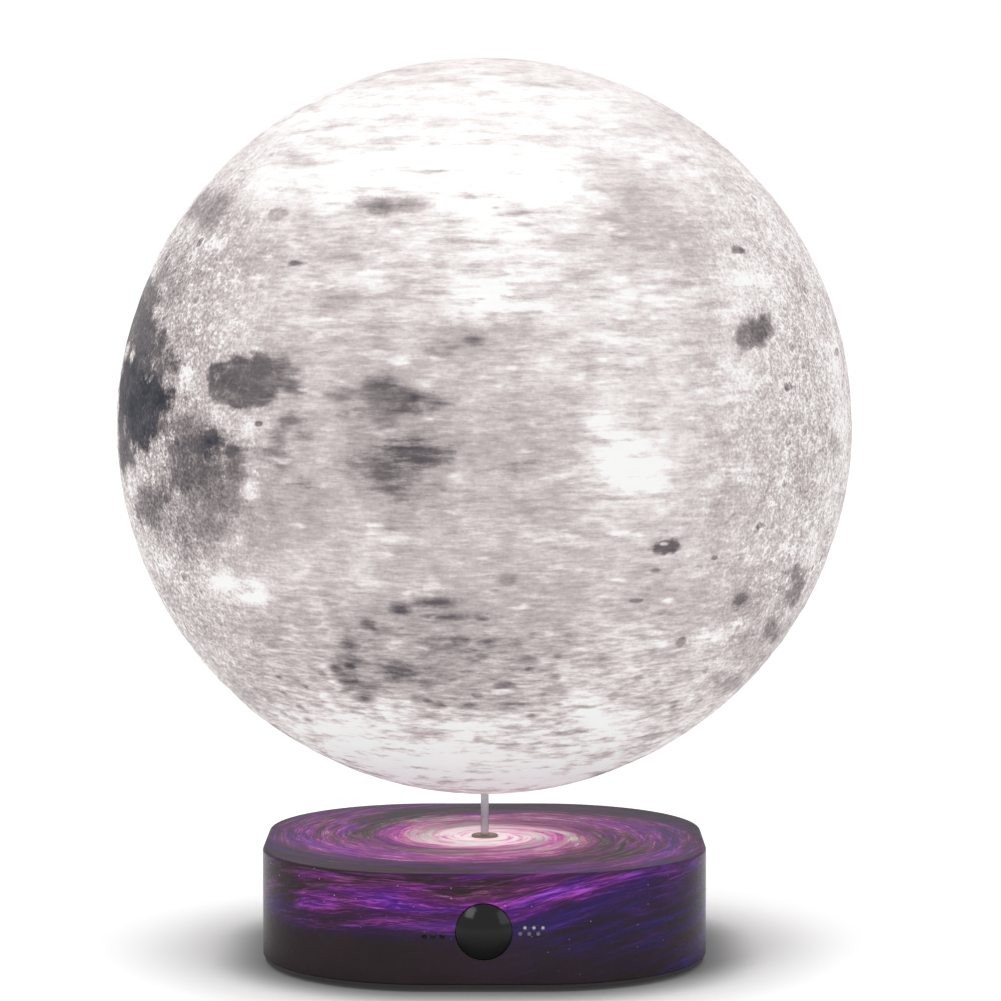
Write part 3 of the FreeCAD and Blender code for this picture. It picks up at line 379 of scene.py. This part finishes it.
# %% [markdown]
# The far side is out of the picture. It gets plains and craters of the same kind, at places drawn with a
# fixed seed, so that each run makes the same ball.

# %% Marks of the far side
chance = np.random.default_rng(7)
behind_from = 0.25
plains_behind, clouds_behind = 34, 56


def anywhere(behind):
    """A direction from the ball's centre, on its far half if behind is set."""
    while True:
        way = chance.normal(size=3)
        way /= np.linalg.norm(way)
        if not behind or way[1] > behind_from:
            return way


far_plains = [(anywhere(True), chance.uniform(5, 20), chance.uniform(0.25, 0.75), chance.uniform(0.4, 1.0))
              for _ in range(plains_behind)]
far_clouds = [(anywhere(True), chance.uniform(5, 26), chance.choice((-0.08, -0.06, 0.08, 0.15)))
              for _ in range(clouds_behind)]
print("far side:", len(far_plains), "dark plains,", len(far_clouds), "clouds")

# %% [markdown]
# ## The ball
#
# The real ball is printed in thin level layers, with a wall of about two millimetres. It is open at the
# bottom, where a cap holds it on the post. A sphere with level rings suits that. It is cut open with bisect,
# a second, smaller sphere is its inner wall, and bridge joins the two rims, so the shell has a true
# thickness. A Solidify modifier would make the wall too, but it would copy every crater to the inside and
# double the triangles there.

# %% Outer wall
opening_radius = 0.024


def open_sphere(name, radius, segments, rings, flip):
    """A sphere round the ball's centre, cut open at the bottom where it is as wide as the opening."""
    bpy.ops.object.select_all(action="DESELECT")
    bpy.ops.mesh.primitive_uv_sphere_add(
        segments=segments, ring_count=rings, radius=radius, location=ball_centre)
    piece = bpy.context.object
    piece.name = name
    bpy.ops.object.transform_apply(location=True)
    cut = ball_centre.z - math.sqrt(radius ** 2 - opening_radius ** 2)
    bpy.ops.object.mode_set(mode="EDIT")
    bpy.ops.mesh.select_all(action="SELECT")
    bpy.ops.mesh.bisect(plane_co=(0, 0, cut), plane_no=(0, 0, 1), clear_inner=True)
    if flip:
        bpy.ops.mesh.select_all(action="SELECT")
        bpy.ops.mesh.flip_normals()
    bpy.ops.object.mode_set(mode="OBJECT")
    return piece


skin_depth = 0.00002
moon = open_sphere("moon_surface", ball_radius - skin_depth, segments=432, rings=212, flip=False)
print("outer wall:", len(moon.data.vertices), "corners")

# %% [markdown]
# The relief is a height for every corner of the mesh. A dish has a low floor and a raised rim, the wide
# plains lie a little low, and all of it fades out towards the opening, where the cap fits.
# Sculpting by hand would do as well. Working the heights out in code gives the same ball in every run, and
# keeps the highest point inside the ball's true size.

# %% The corners of the outer wall
count = len(moon.data.vertices)
corners = np.empty(count * 3, np.float32)
moon.data.vertices.foreach_get("co", corners)
corners = corners.reshape(-1, 3).astype(float)
outward = corners - np.array(ball_centre)
outward /= np.linalg.norm(outward, axis=1)[:, None]


def smooth(t):
    """0 below 0, 1 above 1, and a smooth step between."""
    t = np.clip(t, 0, 1)
    return t * t * (3 - 2 * t)


# slow waves over the ball, which let the outlines of the marks wander
bends = [(chance.normal(size=3) * chance.uniform(18, 60), chance.uniform(0, 2 * math.pi)) for _ in range(16)]
sway = [sum(np.sin(outward @ way + start) for way, start in bends[i::2]) / 3 for i in (0, 1)]
print("corners:", count)


# %% How far the corners are from a mark
# how far an outline wanders, as a share of the mark's size
wobble = 0.14


def seen(x, y, width, height):
    """How far each corner is from a mark of the picture: 0 in its middle and 1 on its outline."""
    place = np.array(sight(x, y))
    across = np.array(sight(x + 1, y)) - np.array(sight(x - 1, y))
    down = np.array(sight(x, y + 1)) - np.array(sight(x, y - 1))
    axes = np.linalg.pinv(np.stack([across / 2, down / 2], 1))
    local = (outward * ball_radius - place) @ axes.T
    distance = np.hypot(local[:, 0] / width + wobble * sway[0], local[:, 1] / height + wobble * sway[1])
    facing = outward @ (place / np.linalg.norm(place)) > 0.3
    return np.where(facing, distance, 9)


def away(way, radius):
    """The same for a round mark anywhere on the ball, with its radius in millimetres."""
    return np.arccos(np.clip(outward @ way, -1, 1)) * ball_radius / MM / radius + wobble * sway[0]


def shore(distance, softness):
    """Well over 1 in the middle of a mark, 0.5 on its outline and 0 outside it."""
    return np.clip((1 + softness - distance) / (2 * softness), 0, 1.5)


# %% [markdown]
# Each corner also keeps its tones: how dark its plain is, how deep it lies within the plain's shore, its
# clouds and its cold tint. The finish reads them later as attributes. An image would need a UV map, with a
# seam and two pinched poles, while an attribute goes straight on the corners.

# %% Tones of the corners
plains = ([(shore(seen(*m[:4]), m[5]), m[4]) for m in dark_plains]
          + [(shore(away(way, radius), softness), amount) for way, radius, amount, softness in far_plains])
fields = np.array([field for field, amount in plains])
amounts = np.array([amount for field, amount in plains])
weights = fields ** 3 + 1e-6
shade_shape, shade = fields.max(0), amounts @ weights / weights.sum(0)
cloud = np.sum([m[4] * np.exp(-seen(*m[:4]) ** 2) for m in clouds]
               + [amount * np.exp(-away(way, radius) ** 2) for way, radius, amount in far_clouds], axis=0)
cold = np.max([m[4] * np.minimum(shore(seen(*m[:4]), 0.5), 1) for m in cold_plains], axis=0)
print("dark plains cover", round(float((shade_shape > 0.5).mean()), 3), "of the ball")


# %% Craters and wide dishes
def crater(way, radius, depth, rim=0.3):
    """Height in millimetres of a crater: a bowl with a raised rim."""
    distance = np.arccos(np.clip(outward @ way, -1, 1)) * ball_radius / MM / radius
    bowl = -np.clip(1 - distance ** 2, 0, 1)
    return depth * (bowl + rim * np.exp(-((distance - 1.08) / 0.2) ** 2))


def bearing(longitude, latitude):
    """A direction from the ball's centre; longitude 0 looks at the camera."""
    a, b = math.radians(longitude), math.radians(latitude)
    return np.array([math.sin(a) * math.cos(b), -math.cos(a) * math.cos(b), math.sin(b)])


wide_dishes = (
    (-41, 10, 9.0, 1.0), (-58, -4, 10.0, 1.0), (-13, 7, 8.0, 0.8), (-12, -6, 7.0, 0.8),
    (-19, 41, 7.0, 0.8), (49, 16, 6.0, 0.9), (31, -20, 5.0, 0.8), (-5, -36, 9.0, 0.9),
    (60, -28, 5.5, 0.8), (95, 12, 11.0, 1.1), (128, -24, 9.0, 1.0), (165, 20, 10.0, 1.0),
    (-118, 30, 8.0, 0.9), (-140, -18, 11.0, 1.1), (-165, 50, 7.0, 0.8), (75, 52, 7.0, 0.8),
)
# A rim may rise by the highest number, and the whole surface is lowered by as much in the next cell, so that
# no rim stands out of the ball's true size. The depths of the table count from that size.
deepest, highest = -1.1, 0.1
small_craters = 420
relief = np.zeros(count)
for longitude, latitude, radius, depth in wide_dishes:
    relief += crater(bearing(longitude, latitude), radius, depth - highest, 0.12)
for _ in range(small_craters):
    radius = 1.9 + 3.4 * chance.random() ** 3
    relief += crater(anywhere(False), radius, 0.07 * radius)
plain_depth = 0.2
relief -= plain_depth * shade * np.minimum(shade_shape, 1)
print("dishes:", len(wide_dishes), " small craters:", small_craters)

# %% Height of every corner
near_opening = smooth((-outward[:, 2] - 0.90) / 0.055)
relief = np.clip(relief, deepest, highest) * (1 - near_opening)
height = (relief - highest * (1 - near_opening)) * MM
moon.data.vertices.foreach_set("co", (corners + outward * height[:, None]).astype(np.float32).ravel())

for name, values in (("shade", shade), ("shade_shape", shade_shape), ("cloud", cloud), ("cold", cold),
                     ("relief", relief)):
    moon.data.attributes.new(name, "FLOAT", "POINT").data.foreach_set("value", values.astype(np.float32))
print("relief from", round(relief.min(), 2), "to", round(relief.max(), 2), "mm")

# %% [markdown]
# Between the craters the ground is rough. A Displace modifier with a cloud texture pushes the corners in
# by a fraction of a millimetre, and is applied, so that the roughness is true geometry. A vertex group keeps
# it off the rim of the opening.

# %% Rough ground
ground = moon.vertex_groups.new(name="ground")
for i, amount in enumerate(1 - near_opening):
    if amount > 0:
        ground.add([i], float(amount), "REPLACE")
lumps = bpy.data.textures.new("rough ground", "CLOUDS")
lumps.noise_scale, lumps.noise_depth = 0.006, 4
rough = moon.modifiers.new("rough ground", "DISPLACE")
rough.texture, rough.texture_coords, rough.vertex_group = lumps, "LOCAL", "ground"
rough.strength, rough.mid_level = 0.0004, 0.8
print("the rough ground is", round(rough.strength / MM, 2), "mm deep")
bpy.ops.object.select_all(action="DESELECT")
moon.select_set(True)
bpy.context.view_layer.objects.active = moon
bpy.ops.object.modifier_apply(modifier=rough.name)
moon.vertex_groups.clear()

# %% [markdown]
# The inner wall is only seen from inside, so it is plainer. Its faces point inwards, to the hollow. Both
# rims have the same width, which lets bridge close the gap between them with one ring of faces.

# %% Inner wall and rim
wall = 0.002
inner = open_sphere("inner_wall", ball_radius - wall, segments=108, rings=54, flip=True)
print("inner wall:", len(inner.data.vertices), "corners")
bpy.ops.object.select_all(action="DESELECT")
inner.select_set(True)
moon.select_set(True)
bpy.context.view_layer.objects.active = moon
bpy.ops.object.join()
bpy.ops.object.mode_set(mode="EDIT")
bpy.ops.mesh.select_mode(type="EDGE")
bpy.ops.mesh.select_all(action="DESELECT")
bpy.ops.mesh.select_non_manifold()
bpy.ops.mesh.bridge_edge_loops()
bpy.ops.object.mode_set(mode="OBJECT")
bpy.ops.object.shade_smooth_by_angle(angle=math.radians(50))
moon.data.calc_loop_triangles()
reach = max((v.co - ball_centre).length for v in moon.data.vertices)
print("triangles:", len(moon.data.loop_triangles), " largest radius:", round(reach / MM, 3), "mm")

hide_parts("moon_shell")
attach(moon, "moon")

# %% [markdown]
# ## Finishes
#
# Each finish is a small set of nodes on Object coordinates, in metres. Its colour, its roughness and its
# grain vary a little over the surface, as on a real piece. One helper makes the empty finish and one
# connects it.

# %% Helpers for finishes
materials = {}


def begin(slot):
    """A new empty finish for a material slot, and its coordinates."""
    material = bpy.data.materials.new(slot)
    material.use_nodes = True
    material.node_tree.nodes.clear()
    materials[slot] = material
    return Wire(material.node_tree).add("ShaderNodeTexCoord", output="Object")


def end(wire, base, roughness, normal=None, emission=None, **values):
    """Connects colour, roughness and bump, and sets the plain numbers on the shader's own sockets."""
    inputs = {"Base Color": base, "Roughness": roughness}
    if normal:
        inputs["Normal"] = normal
    if emission:
        inputs["Emission Color"] = emission
    inputs.update({name.replace("_", " "): value for name, value in values.items()})
    wire.add("ShaderNodeBsdfPrincipled", {}, inputs).show()


# %% [markdown]
# ### The printed ball
#
# The ball glows from inside, so its tones are even from its middle to its rim. The same tone drives the
# colour that the studio light meets and a soft glow. In the picture the ball turns, so its middle is smeared
# in level streaks, while rings and bright specks stay crisp towards the two sides. The finish keeps both. A
# painted picture would do as well, but nodes stay sharp at any distance.
#
# The small marks are too fine for the mesh. Each is a place in the picture, half its width and height, how
# much it lightens or darkens, and how hollow it is.

# %% Small marks of the ball
# marks between these two places across the picture are smeared; an edge fades between two distances
smeared_from, smeared_to = 310, 620
smeared_edge, crisp_edge = (1.7, 0.1), (1.3, 0.6)
smeared_hollow, crisp_hollow = (0.9, 0.1), (0.8, 0.4)
small_marks = (
    (276, 214, 9, 7, -0.20, 0.3), (295, 263, 10, 3, -0.30, 0.0), (474, 341, 9, 4, -0.22, 0.0),
    (441, 349, 14, 8, -0.25, 0.8), (384, 423, 10, 7, -0.24, 0.7), (258, 424, 4, 3, -0.36, 0.0),
    (412, 397, 8, 4, -0.20, 0.0), (739, 250, 6, 3, -0.36, 0.0), (789, 386, 4, 4, -0.30, 0.3),
    (838, 352, 3, 3, -0.28, 0.0), (666, 547, 14, 7, -0.46, 0.0), (664, 544, 5, 2, 0.50, 0.0),
    (683, 642, 6, 4, -0.28, 0.0), (761, 526, 4, 4, -0.30, 0.0), (715, 558, 3, 2, -0.25, 0.0),
    (507, 580, 10, 5, -0.22, 0.4), (637, 601, 7, 2, -0.24, 0.0), (656, 571, 6, 2, -0.20, 0.0),
    (460, 641, 9, 4, -0.33, 0.5), (399, 610, 10, 5, -0.33, 0.0), (366, 625, 8, 4, -0.32, 0.0),
    (349, 645, 9, 5, -0.33, 0.0), (346, 680, 10, 6, -0.32, 0.0), (400, 672, 17, 8, -0.32, 0.0),
    (363, 699, 9, 3, -0.32, 0.0), (418, 698, 7, 3, -0.30, 0.0), (433, 603, 18, 4, -0.31, 0.0),
    (335, 668, 6, 4, -0.30, 0.0), (435, 705, 10, 3, -0.31, 0.0), (465, 706, 10, 3, -0.30, 0.0),
    (350, 661, 11, 7, -0.22, 0.0), (369, 688, 13, 7, -0.19, 0.0), (435, 644, 16, 9, -0.14, 0.0),
    (491, 643, 11, 6, -0.19, 0.0), (517, 645, 8, 4, -0.16, 0.0), (530, 661, 12, 4, -0.19, 0.0),
    (504, 685, 9, 3, -0.24, 0.0), (429, 685, 8, 3, -0.24, 0.0), (510, 706, 16, 3, -0.24, 0.0),
    (427, 716, 9, 2, -0.24, 0.0), (450, 618, 18, 3, -0.19, 0.0), (483, 619, 7, 2, -0.22, 0.0),
    (358, 585, 8, 3, -0.16, 0.0), (394, 643, 10, 5, 0.18, 0.0), (463, 730, 16, 6, 0.16, 0.0),
    (507, 210, 18, 7, -0.24, 0.8), (602, 757, 9, 2, -0.22, 0.0), (206, 455, 4, 4, -0.20, 0.0),
    (210, 243, 5, 5, 0.24, 0.9), (221, 243, 5, 5, 0.22, 0.9), (176, 490, 4, 6, 0.26, 0.9),
    (380, 347, 7, 3, -0.12, 0.5), (343, 414, 6, 4, -0.10, 0.7), (742, 600, 6, 5, -0.12, 0.0),
)


def marks(wire, table, ragged):
    """The sum of small marks, each a soft oval round its place on the ball; a hollow one is a ring."""
    total = None
    for x, y, width, height, amount, hollow in table:
        place = sight(x, y)
        across = (sight(x + 1, y) - sight(x - 1, y)).length / 2 * width
        down = (sight(x, y + 1) - sight(x, y - 1)).length / 2 * height
        size = Vector((1 / across, 1 / across, 1 / down))
        local = wire.vector("MULTIPLY_ADD", wire, size, -place * size)
        far = local.vector("LENGTH", local, output=1) + ragged
        smeared = smeared_from < x < smeared_to
        spot = far.rise(*(smeared_edge if smeared else crisp_edge)) * amount
        if hollow:
            spot = spot * (1 - far.rise(*(smeared_hollow if smeared else crisp_hollow)) * hollow)
        total = spot if total is None else total + spot
    return total


# %% Rings, pits and specks
ring_cells, pit_cells, speck_cells = 430, 200, 640


def crisp_grain(where, fine):
    """The crisp grain of the ball's two sides: its tone, and its height for the bump."""
    # thin bright rings, in some of the cells only
    rings = where.cells(ring_cells)
    ring = rings.rise(0.24, 0.31) * rings.rise(0.42, 0.34)
    ring = ring * where.cells(ring_cells, 1).part("X").rise(0.70, 0.80)
    # a few dark pits with a bright rim
    pits = where.cells(pit_cells)
    few = where.cells(pit_cells, 1).part("Y").rise(0.80, 0.86)
    pit = pits.rise(0.30, 0.12) * few
    pit_rim = pits.rise(0.24, 0.30) * pits.rise(0.40, 0.32) * few
    # small bright specks
    specks = where.cells(speck_cells).rise(0.30, 0.10)
    specks = specks * where.cells(speck_cells, 1).part("Z").rise(0.55, 0.85)
    tone = ring * 0.22 + specks * 0.44 + pit_rim * 0.18 - pit * 0.24 + fine.rise(0.02, 0.26) * 0.24
    return tone, ring * 0.5 - pit * 0.8


# %% [markdown]
# The tone of the print is one sum, from 0 for the darkest plain to 1 for white: the ground, level streaks,
# the crisp grain, and the marks that the corners of the mesh carry. A ramp then turns the tone into a colour,
# a little cold where it is darkest and a little warm above that. The cap under the ball is printed with the
# ball, so it takes the same finish without the small marks.

# %% Tones of the ball
crisp_beyond, smeared_within = 0.080, 0.040


def ball_tone(where, marked, fine, shingle):
    """The tone of the print, 0 for the darkest plain and 1 for white."""
    mark = {name: where.add("ShaderNodeAttribute", {"attribute_name": name}, output="Fac")
            for name in ("shade", "shade_shape", "cloud", "cold", "relief")}
    # where the ball is smeared, where it is crisp, and how strong its grain is at the ends and at the right
    side = where.part("X").maths("ABSOLUTE", where.part("X"))
    middle = side.rise(crisp_beyond, smeared_within)
    outer = 1 - middle
    ends = where.part("Z").rise(-0.025, -0.060) * middle
    calm = 1 - where.part("Z").rise(0.040, 0.075) * 0.42
    milder = 1 - where.part("X").rise(0.030, 0.060) * 0.20

    # noise from wide to fine, and level streaks that are stretched by a large scale in height
    wide = where.noise(26, 5, 0.62) - 0.5
    patchy = where.noise(90, 5, 0.65, 0.4) - 0.5
    edge = where.noise(130, 7, 0.78) - 0.5
    grit = where.noise(1300, 2, 0.70) - 0.5
    streak = where.mapped(scale=(1, 1, 6.0)).noise(80, 5, 0.62) - 0.5
    thin_streak = where.mapped(scale=(1, 1, 5.0)).noise(240, 3, 0.62) - 0.5
    glints = where.mapped(scale=(1, 1, 3.0)).noise(125, 2, 0.50).rise(0.57, 0.90)

    # dark plains with torn shores, clouds, and dents near the lower end
    torn = edge * (1.4 + 1.6 * outer) + streak * 2.4 * middle + fine * outer
    shape = mark["shade_shape"] + torn
    dark = mark["shade"] * (shape.rise(0.22, 0.78) * outer + shape.rise(0.06, 0.98) * middle)
    cloud = mark["cloud"] * (1 + streak * 4 * middle + (edge * 4 + patchy * 2) * outer)
    dents = where.mapped(scale=(1, 1, 1.7))
    dented = dents.cells(170, 1).part("X").rise(0.45, 0.75) * ends * where.part("Z").rise(-0.080, -0.068)
    dent = (dents.cells(170) + edge * 0.4).rise(0.34, 0.06) * dented

    # the crisp grain crowds in places, and lies mostly outside the smeared middle
    crowd = (wide * 3 + patchy * 2 + 0.5).rise(0.1, 0.9)
    rough = (fine * 0.54 + grit * 1.15 + shingle * (0.35 + crowd)) * (0.04 + outer * milder)
    smears = (streak * (0.46 * middle + 0.08 * ends + 0.08)
              + thin_streak * (0.30 * middle + 0.36 * ends + 0.05)
              + patchy * (0.30 + 0.14 * outer) + glints * (0.26 * middle + 0.06)) * calm
    # the relief's hollows are made a little darker and its rims a little lighter in tone: painted shade and
    # light on top of the real relief
    tone = (0.836 - outer * 0.035 + wide * 0.22 + smears + (fine * 0.06 + grit * 0.08) * middle
            + rough * (1 - dark * 0.65) + cloud - dark * (0.56 + patchy * 0.4)
            + mark["cold"] * dark * (edge * 1.2 - 0.08) + mark["relief"] * 0.03 - dent * 0.26)
    if marked:
        ragged = edge * 2.2 + fine * 1.2 * outer + streak * middle
        tone = tone + marks(where, small_marks, ragged) * (0.95 + streak * 2 * middle)
    return tone.limit()


# %% Finish of the ball and of its cap
black = colour(0, 0, 0)


def moon_finish(slot, marked):
    """The print of the ball. Only the ball itself carries the marks, and the cap under it is plain ground."""
    where = begin(slot).mapped(move=-ball_centre)
    fine = where.noise(420, 4, 0.70) - 0.5
    shingle, height = crisp_grain(where, fine)
    print_colour = ball_tone(where, marked, fine, shingle).ramp(
        (0.08, colour(30, 34, 46)), (0.25, colour(74, 71, 79)), (0.42, colour(110, 103, 105)),
        (0.60, colour(158, 149, 149)), (0.77, colour(203, 193, 192)), (0.90, colour(238, 231, 229)),
        (1.00, colour(255, 255, 254)))
    layers = where.add("ShaderNodeTexWave", {"bands_direction": "Z"}, {
        "Vector": where, "Scale": 160.0, "Distortion": 0.6, "Detail": 1.0,
    })
    grain = (layers * 0.3 + fine * 0.6 + height).bump(0.00020, 0.6)
    halved = where.add("ShaderNodeMix", {"data_type": "RGBA"}, {0: 0.5, 6: black, 7: print_colour}, 2)
    dullness = 0.62 + fine * 0.2
    end(where, halved, dullness, grain, print_colour, Emission_Strength=0.5, Specular_IOR_Level=0.2)
    print(slot, "has", len(materials[slot].node_tree.nodes), "nodes")


moon_finish("moon_print", True)
moon_finish("cap_print", False)
moon.data.materials.clear()
moon.data.materials.append(materials["moon_print"])

# %% [markdown]
# ### The dark base
#
# The base has a polished dark lacquer with a swirl of coloured haze round the post, which runs over the
# edge and down the sides. The swirl is painted in polar coordinates: the angle round the post, wound up
# by the distance from it, gives the arms. Its cosine and sine are used and not the angle itself, because
# the angle jumps at the back and would leave a seam there. A painted image would do as well, but it would
# have to be wrapped round the edge and the corners, which this swirl does by itself.

# %% Lacquer with a swirl
top_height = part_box("base_housing")[1].z
arms_wind, down_counts = 4.5, 1.3
where = begin("base_gloss")
x, y, z = (where.part(axis) for axis in "XYZ")
angle = x.maths("ARCTAN2", y, x)
depth = top_height - z
reach = (x * x + y * y).maths("SQRT", x * x + y * y) + depth * down_counts
winding = reach.maths("LOGARITHM", reach * 100 + 0.4, math.e)
turn = angle + winding * arms_wind
on_top = z.rise(top_height - 0.0008, top_height - 0.0001)
around = {0: turn.maths("COSINE", turn), 1: turn.maths("SINE", turn), 2: winding}
wheel = where.add("ShaderNodeCombineXYZ", {}, around)

# haze, strands and threads, all drawn out along the arms
haze = wheel.mapped(scale=(1, 1, 3)).noise(1.6, 5, 0.6, 0.6)
strands = wheel.mapped(scale=(2.0, 2.0, 9)).noise(1.5, 7, 0.74, 1.2)
threads = wheel.mapped(scale=(7, 7, 13)).noise(1.7, 6, 0.78, 1.6)
filaments = wheel.mapped(scale=(3.4, 3.4, 44)).noise(1.7, 4, 0.62, 0.7)
lanes = turn.maths("SINE", turn * 2 + (haze - 0.5) * 4) * 0.5 + 0.5

# the swirl fades outwards on the top, and down the sides, where it reaches lower at the right
right = x.rise(-0.020, 0.040)
down_side = depth.rise(0.017 + right * 0.012, 0.006)
over_top = reach.rise(0.062, 0.028) * 0.75 + 0.30
fade = on_top * over_top + (1 - on_top) * (down_side * (1 - right * 0.70) + right * 0.18)

# what is painted: a veil along the arms, bright threads in it, and a bright core round the post
veil = (lanes * 0.34 + haze * 1.2 + (strands - 0.5) * 1.2 - 0.42).rise(0.02, 0.74)
bright_threads = ((threads + strands * 0.7).rise(0.82 - on_top * 0.02, 1.06) * 0.55
                  + (filaments + strands * 0.5).rise(0.78, 1.00) * 0.85) * (0.3 + lanes)
core = reach.rise(0.033, 0.005)
print("swirl starts at height", round(top_height / MM, 2), "mm")

# %% Colours of the lacquer
hue = (reach * 11 + (haze - 0.5) * 1.6).limit()
deep = hue.ramp((0.02, colour(255, 248, 244)), (0.16, colour(244, 178, 208)), (0.32, colour(224, 96, 180)),
                (0.50, colour(154, 38, 172)), (0.70, colour(98, 34, 168)), (1.0, colour(50, 36, 160)))
pale = hue.ramp((0.02, colour(255, 255, 250)), (0.30, colour(255, 196, 232)), (0.50, colour(240, 112, 232)),
                (0.75, colour(184, 92, 244)), (1.0, colour(104, 88, 236)))
lacquer = where.noise(60, 3).blend(colour(46, 39, 43), colour(62, 51, 54))
glowing = (veil * fade * (0.56 + filaments * 0.44) + core * 0.9).limit()
painted = (bright_threads * fade * (0.35 + veil * 0.65)).blend(glowing.blend(lacquer, deep), pale)
dust = where.cells(800).rise(0.16, 0.05) * where.cells(800, 1).part("X").rise(0.88, 0.92)
painted = (dust * fade * 0.8).blend(painted, colour(245, 225, 250))
# painted light: the core round the post and the bright threads on the top glow a little, though the lacquer
# is no lamp; it stands for the lamp's light pooling there and lifts the top out of the ball's shadow
painted_lamp_glow = (reach.rise(0.023, 0.003) + bright_threads * fade * 0.22) * on_top
shine = painted_lamp_glow.blend(black, pale)
satin = 0.24 + on_top * 0.20 + where.noise(240, 3) * 0.06
end(where, painted, satin, where.noise(900, 2).bump(0.00002, 0.3), shine, Emission_Strength=0.36, IOR=1.13)

# %% [markdown]
# ### The other pieces
#
# Most other pieces share a few kinds of finish: moulded plastic with a fine grain, turned or plated metal
# with level marks, and rubber. Each kind is one function with its own colours and scale. Every slot could
# have its own nodes, but one function for a kind keeps pieces that are alike looking alike.

# %% Kinds of finish
def plastic(slot, dark, pale, roughness, grain=1800, **values):
    """Moulded plastic or rubber: clouds of two close colours, a slightly uneven gloss and a fine grain."""
    where = begin(slot)
    base = where.noise(90, 4).blend(dark, pale)
    dullness = roughness - 0.06 + where.noise(300, 3) * 0.12
    end(where, base, dullness, where.noise(grain, 2).bump(0.00004, 0.4), **values)


def metal(slot, dark, pale, roughness, stretch=(1, 1, 12)):
    """Turned or plated metal: fine marks, level unless stretch says otherwise."""
    where = begin(slot)
    brushed = where.mapped(scale=stretch).noise(700, 4, 0.6)
    base = (brushed * 0.7 + where.noise(120, 3) * 0.3).blend(dark, pale)
    end(where, base, roughness - 0.10 + brushed * 0.20, brushed.bump(0.000004, 0.2), Metallic=1.0)


plastic("base_matt", colour(38, 33, 34), colour(52, 45, 46), 0.55)
plastic("button_gloss", colour(5, 5, 7), colour(12, 12, 14), 0.10, 3000, Specular_IOR_Level=0.26)
plastic("foot_rubber", colour(36, 36, 38), colour(52, 52, 54), 0.85, 2600)
plastic("gear_nylon", colour(216, 212, 198), colour(234, 231, 220), 0.45)
plastic("inner_plastic", colour(50, 50, 54), colour(66, 66, 70), 0.55)
plastic("white_plastic", colour(222, 221, 216), colour(240, 239, 236), 0.45)
plastic("insulator", colour(196, 186, 160), colour(218, 209, 184), 0.5)
plastic("opal", colour(236, 234, 230), colour(248, 246, 243), 0.35)
plastic("board", colour(18, 74, 44), colour(30, 98, 60), 0.38)
plastic("chip", colour(26, 26, 28), colour(44, 44, 47), 0.5)
plastic("led", colour(236, 214, 120), colour(248, 232, 160), 0.3)
plastic("lead", colour(176, 28, 30), colour(206, 46, 44), 0.42)
metal("spindle_steel", colour(176, 176, 180), colour(198, 198, 202), 0.30)
metal("brass", colour(186, 146, 74), colour(222, 184, 110), 0.28)
metal("bush_bronze", colour(128, 108, 100), colour(158, 136, 126), 0.48)
metal("screw_steel", colour(150, 150, 154), colour(188, 188, 192), 0.32)
metal("motor_can", colour(178, 178, 182), colour(208, 208, 212), 0.30)
metal("inlet_shell", colour(184, 184, 188), colour(214, 214, 218), 0.26)
metal("ballast", colour(110, 110, 113), colour(146, 146, 150), 0.48, (1, 12, 1))
print("finishes so far:", len(materials))

# %% [markdown]
# The indicator dots are clear rods in the base's wall, and all six are one piece. The upper three are lit,
# and those under them only glow a little. The glow could be a light behind each rod. A glowing heart that
# repeats with the pitch of the dots looks the same from every side, and costs nothing.

# %% Clear dots
dot_pitch = 0.0021
where = begin("clear_dot")
x, z = where.part("X"), where.part("Z")
# the upper row starts 1.1 mm further right than the lower and lies 1.4 mm higher
upper = z.rise(0.0146, 0.0147)
row_start = 0.0085 + upper * 0.0011
row_height = 0.01395 + upper * 0.0014
step = (x - row_start + dot_pitch / 2) / dot_pitch
across = (step.maths("FRACT", step) - 0.5) * dot_pitch
above = z - row_height
off = (across * across + above * above).maths("SQRT", across * across + above * above)
heart = off.rise(0.00050, 0.00012)
shine = heart.blend(colour(20, 19, 22), upper.blend(colour(84, 80, 86), colour(168, 166, 170)))
smoked = where.noise(2600, 2).blend(colour(52, 50, 54), colour(76, 74, 78))
end(where, smoked, 0.22 + where.noise(1500, 2) * 0.1, None, shine, Emission_Strength=0.9)
print("dots every", round(dot_pitch / MM, 2), "mm")

# %% [markdown]
# Each solid of the mechanical model names the slot that its finish belongs to. One loop goes through them
# and gives each its own, which is what the material list of every object would otherwise be set to by hand.

# %% Give every solid its finish
for row in frame["record"]["subparts"]:
    node = frame["nodes"][row["node"]]
    node.data.materials.clear()
    node.data.materials.append(materials[row["material_slot"]])
print("finishes:", len(materials))
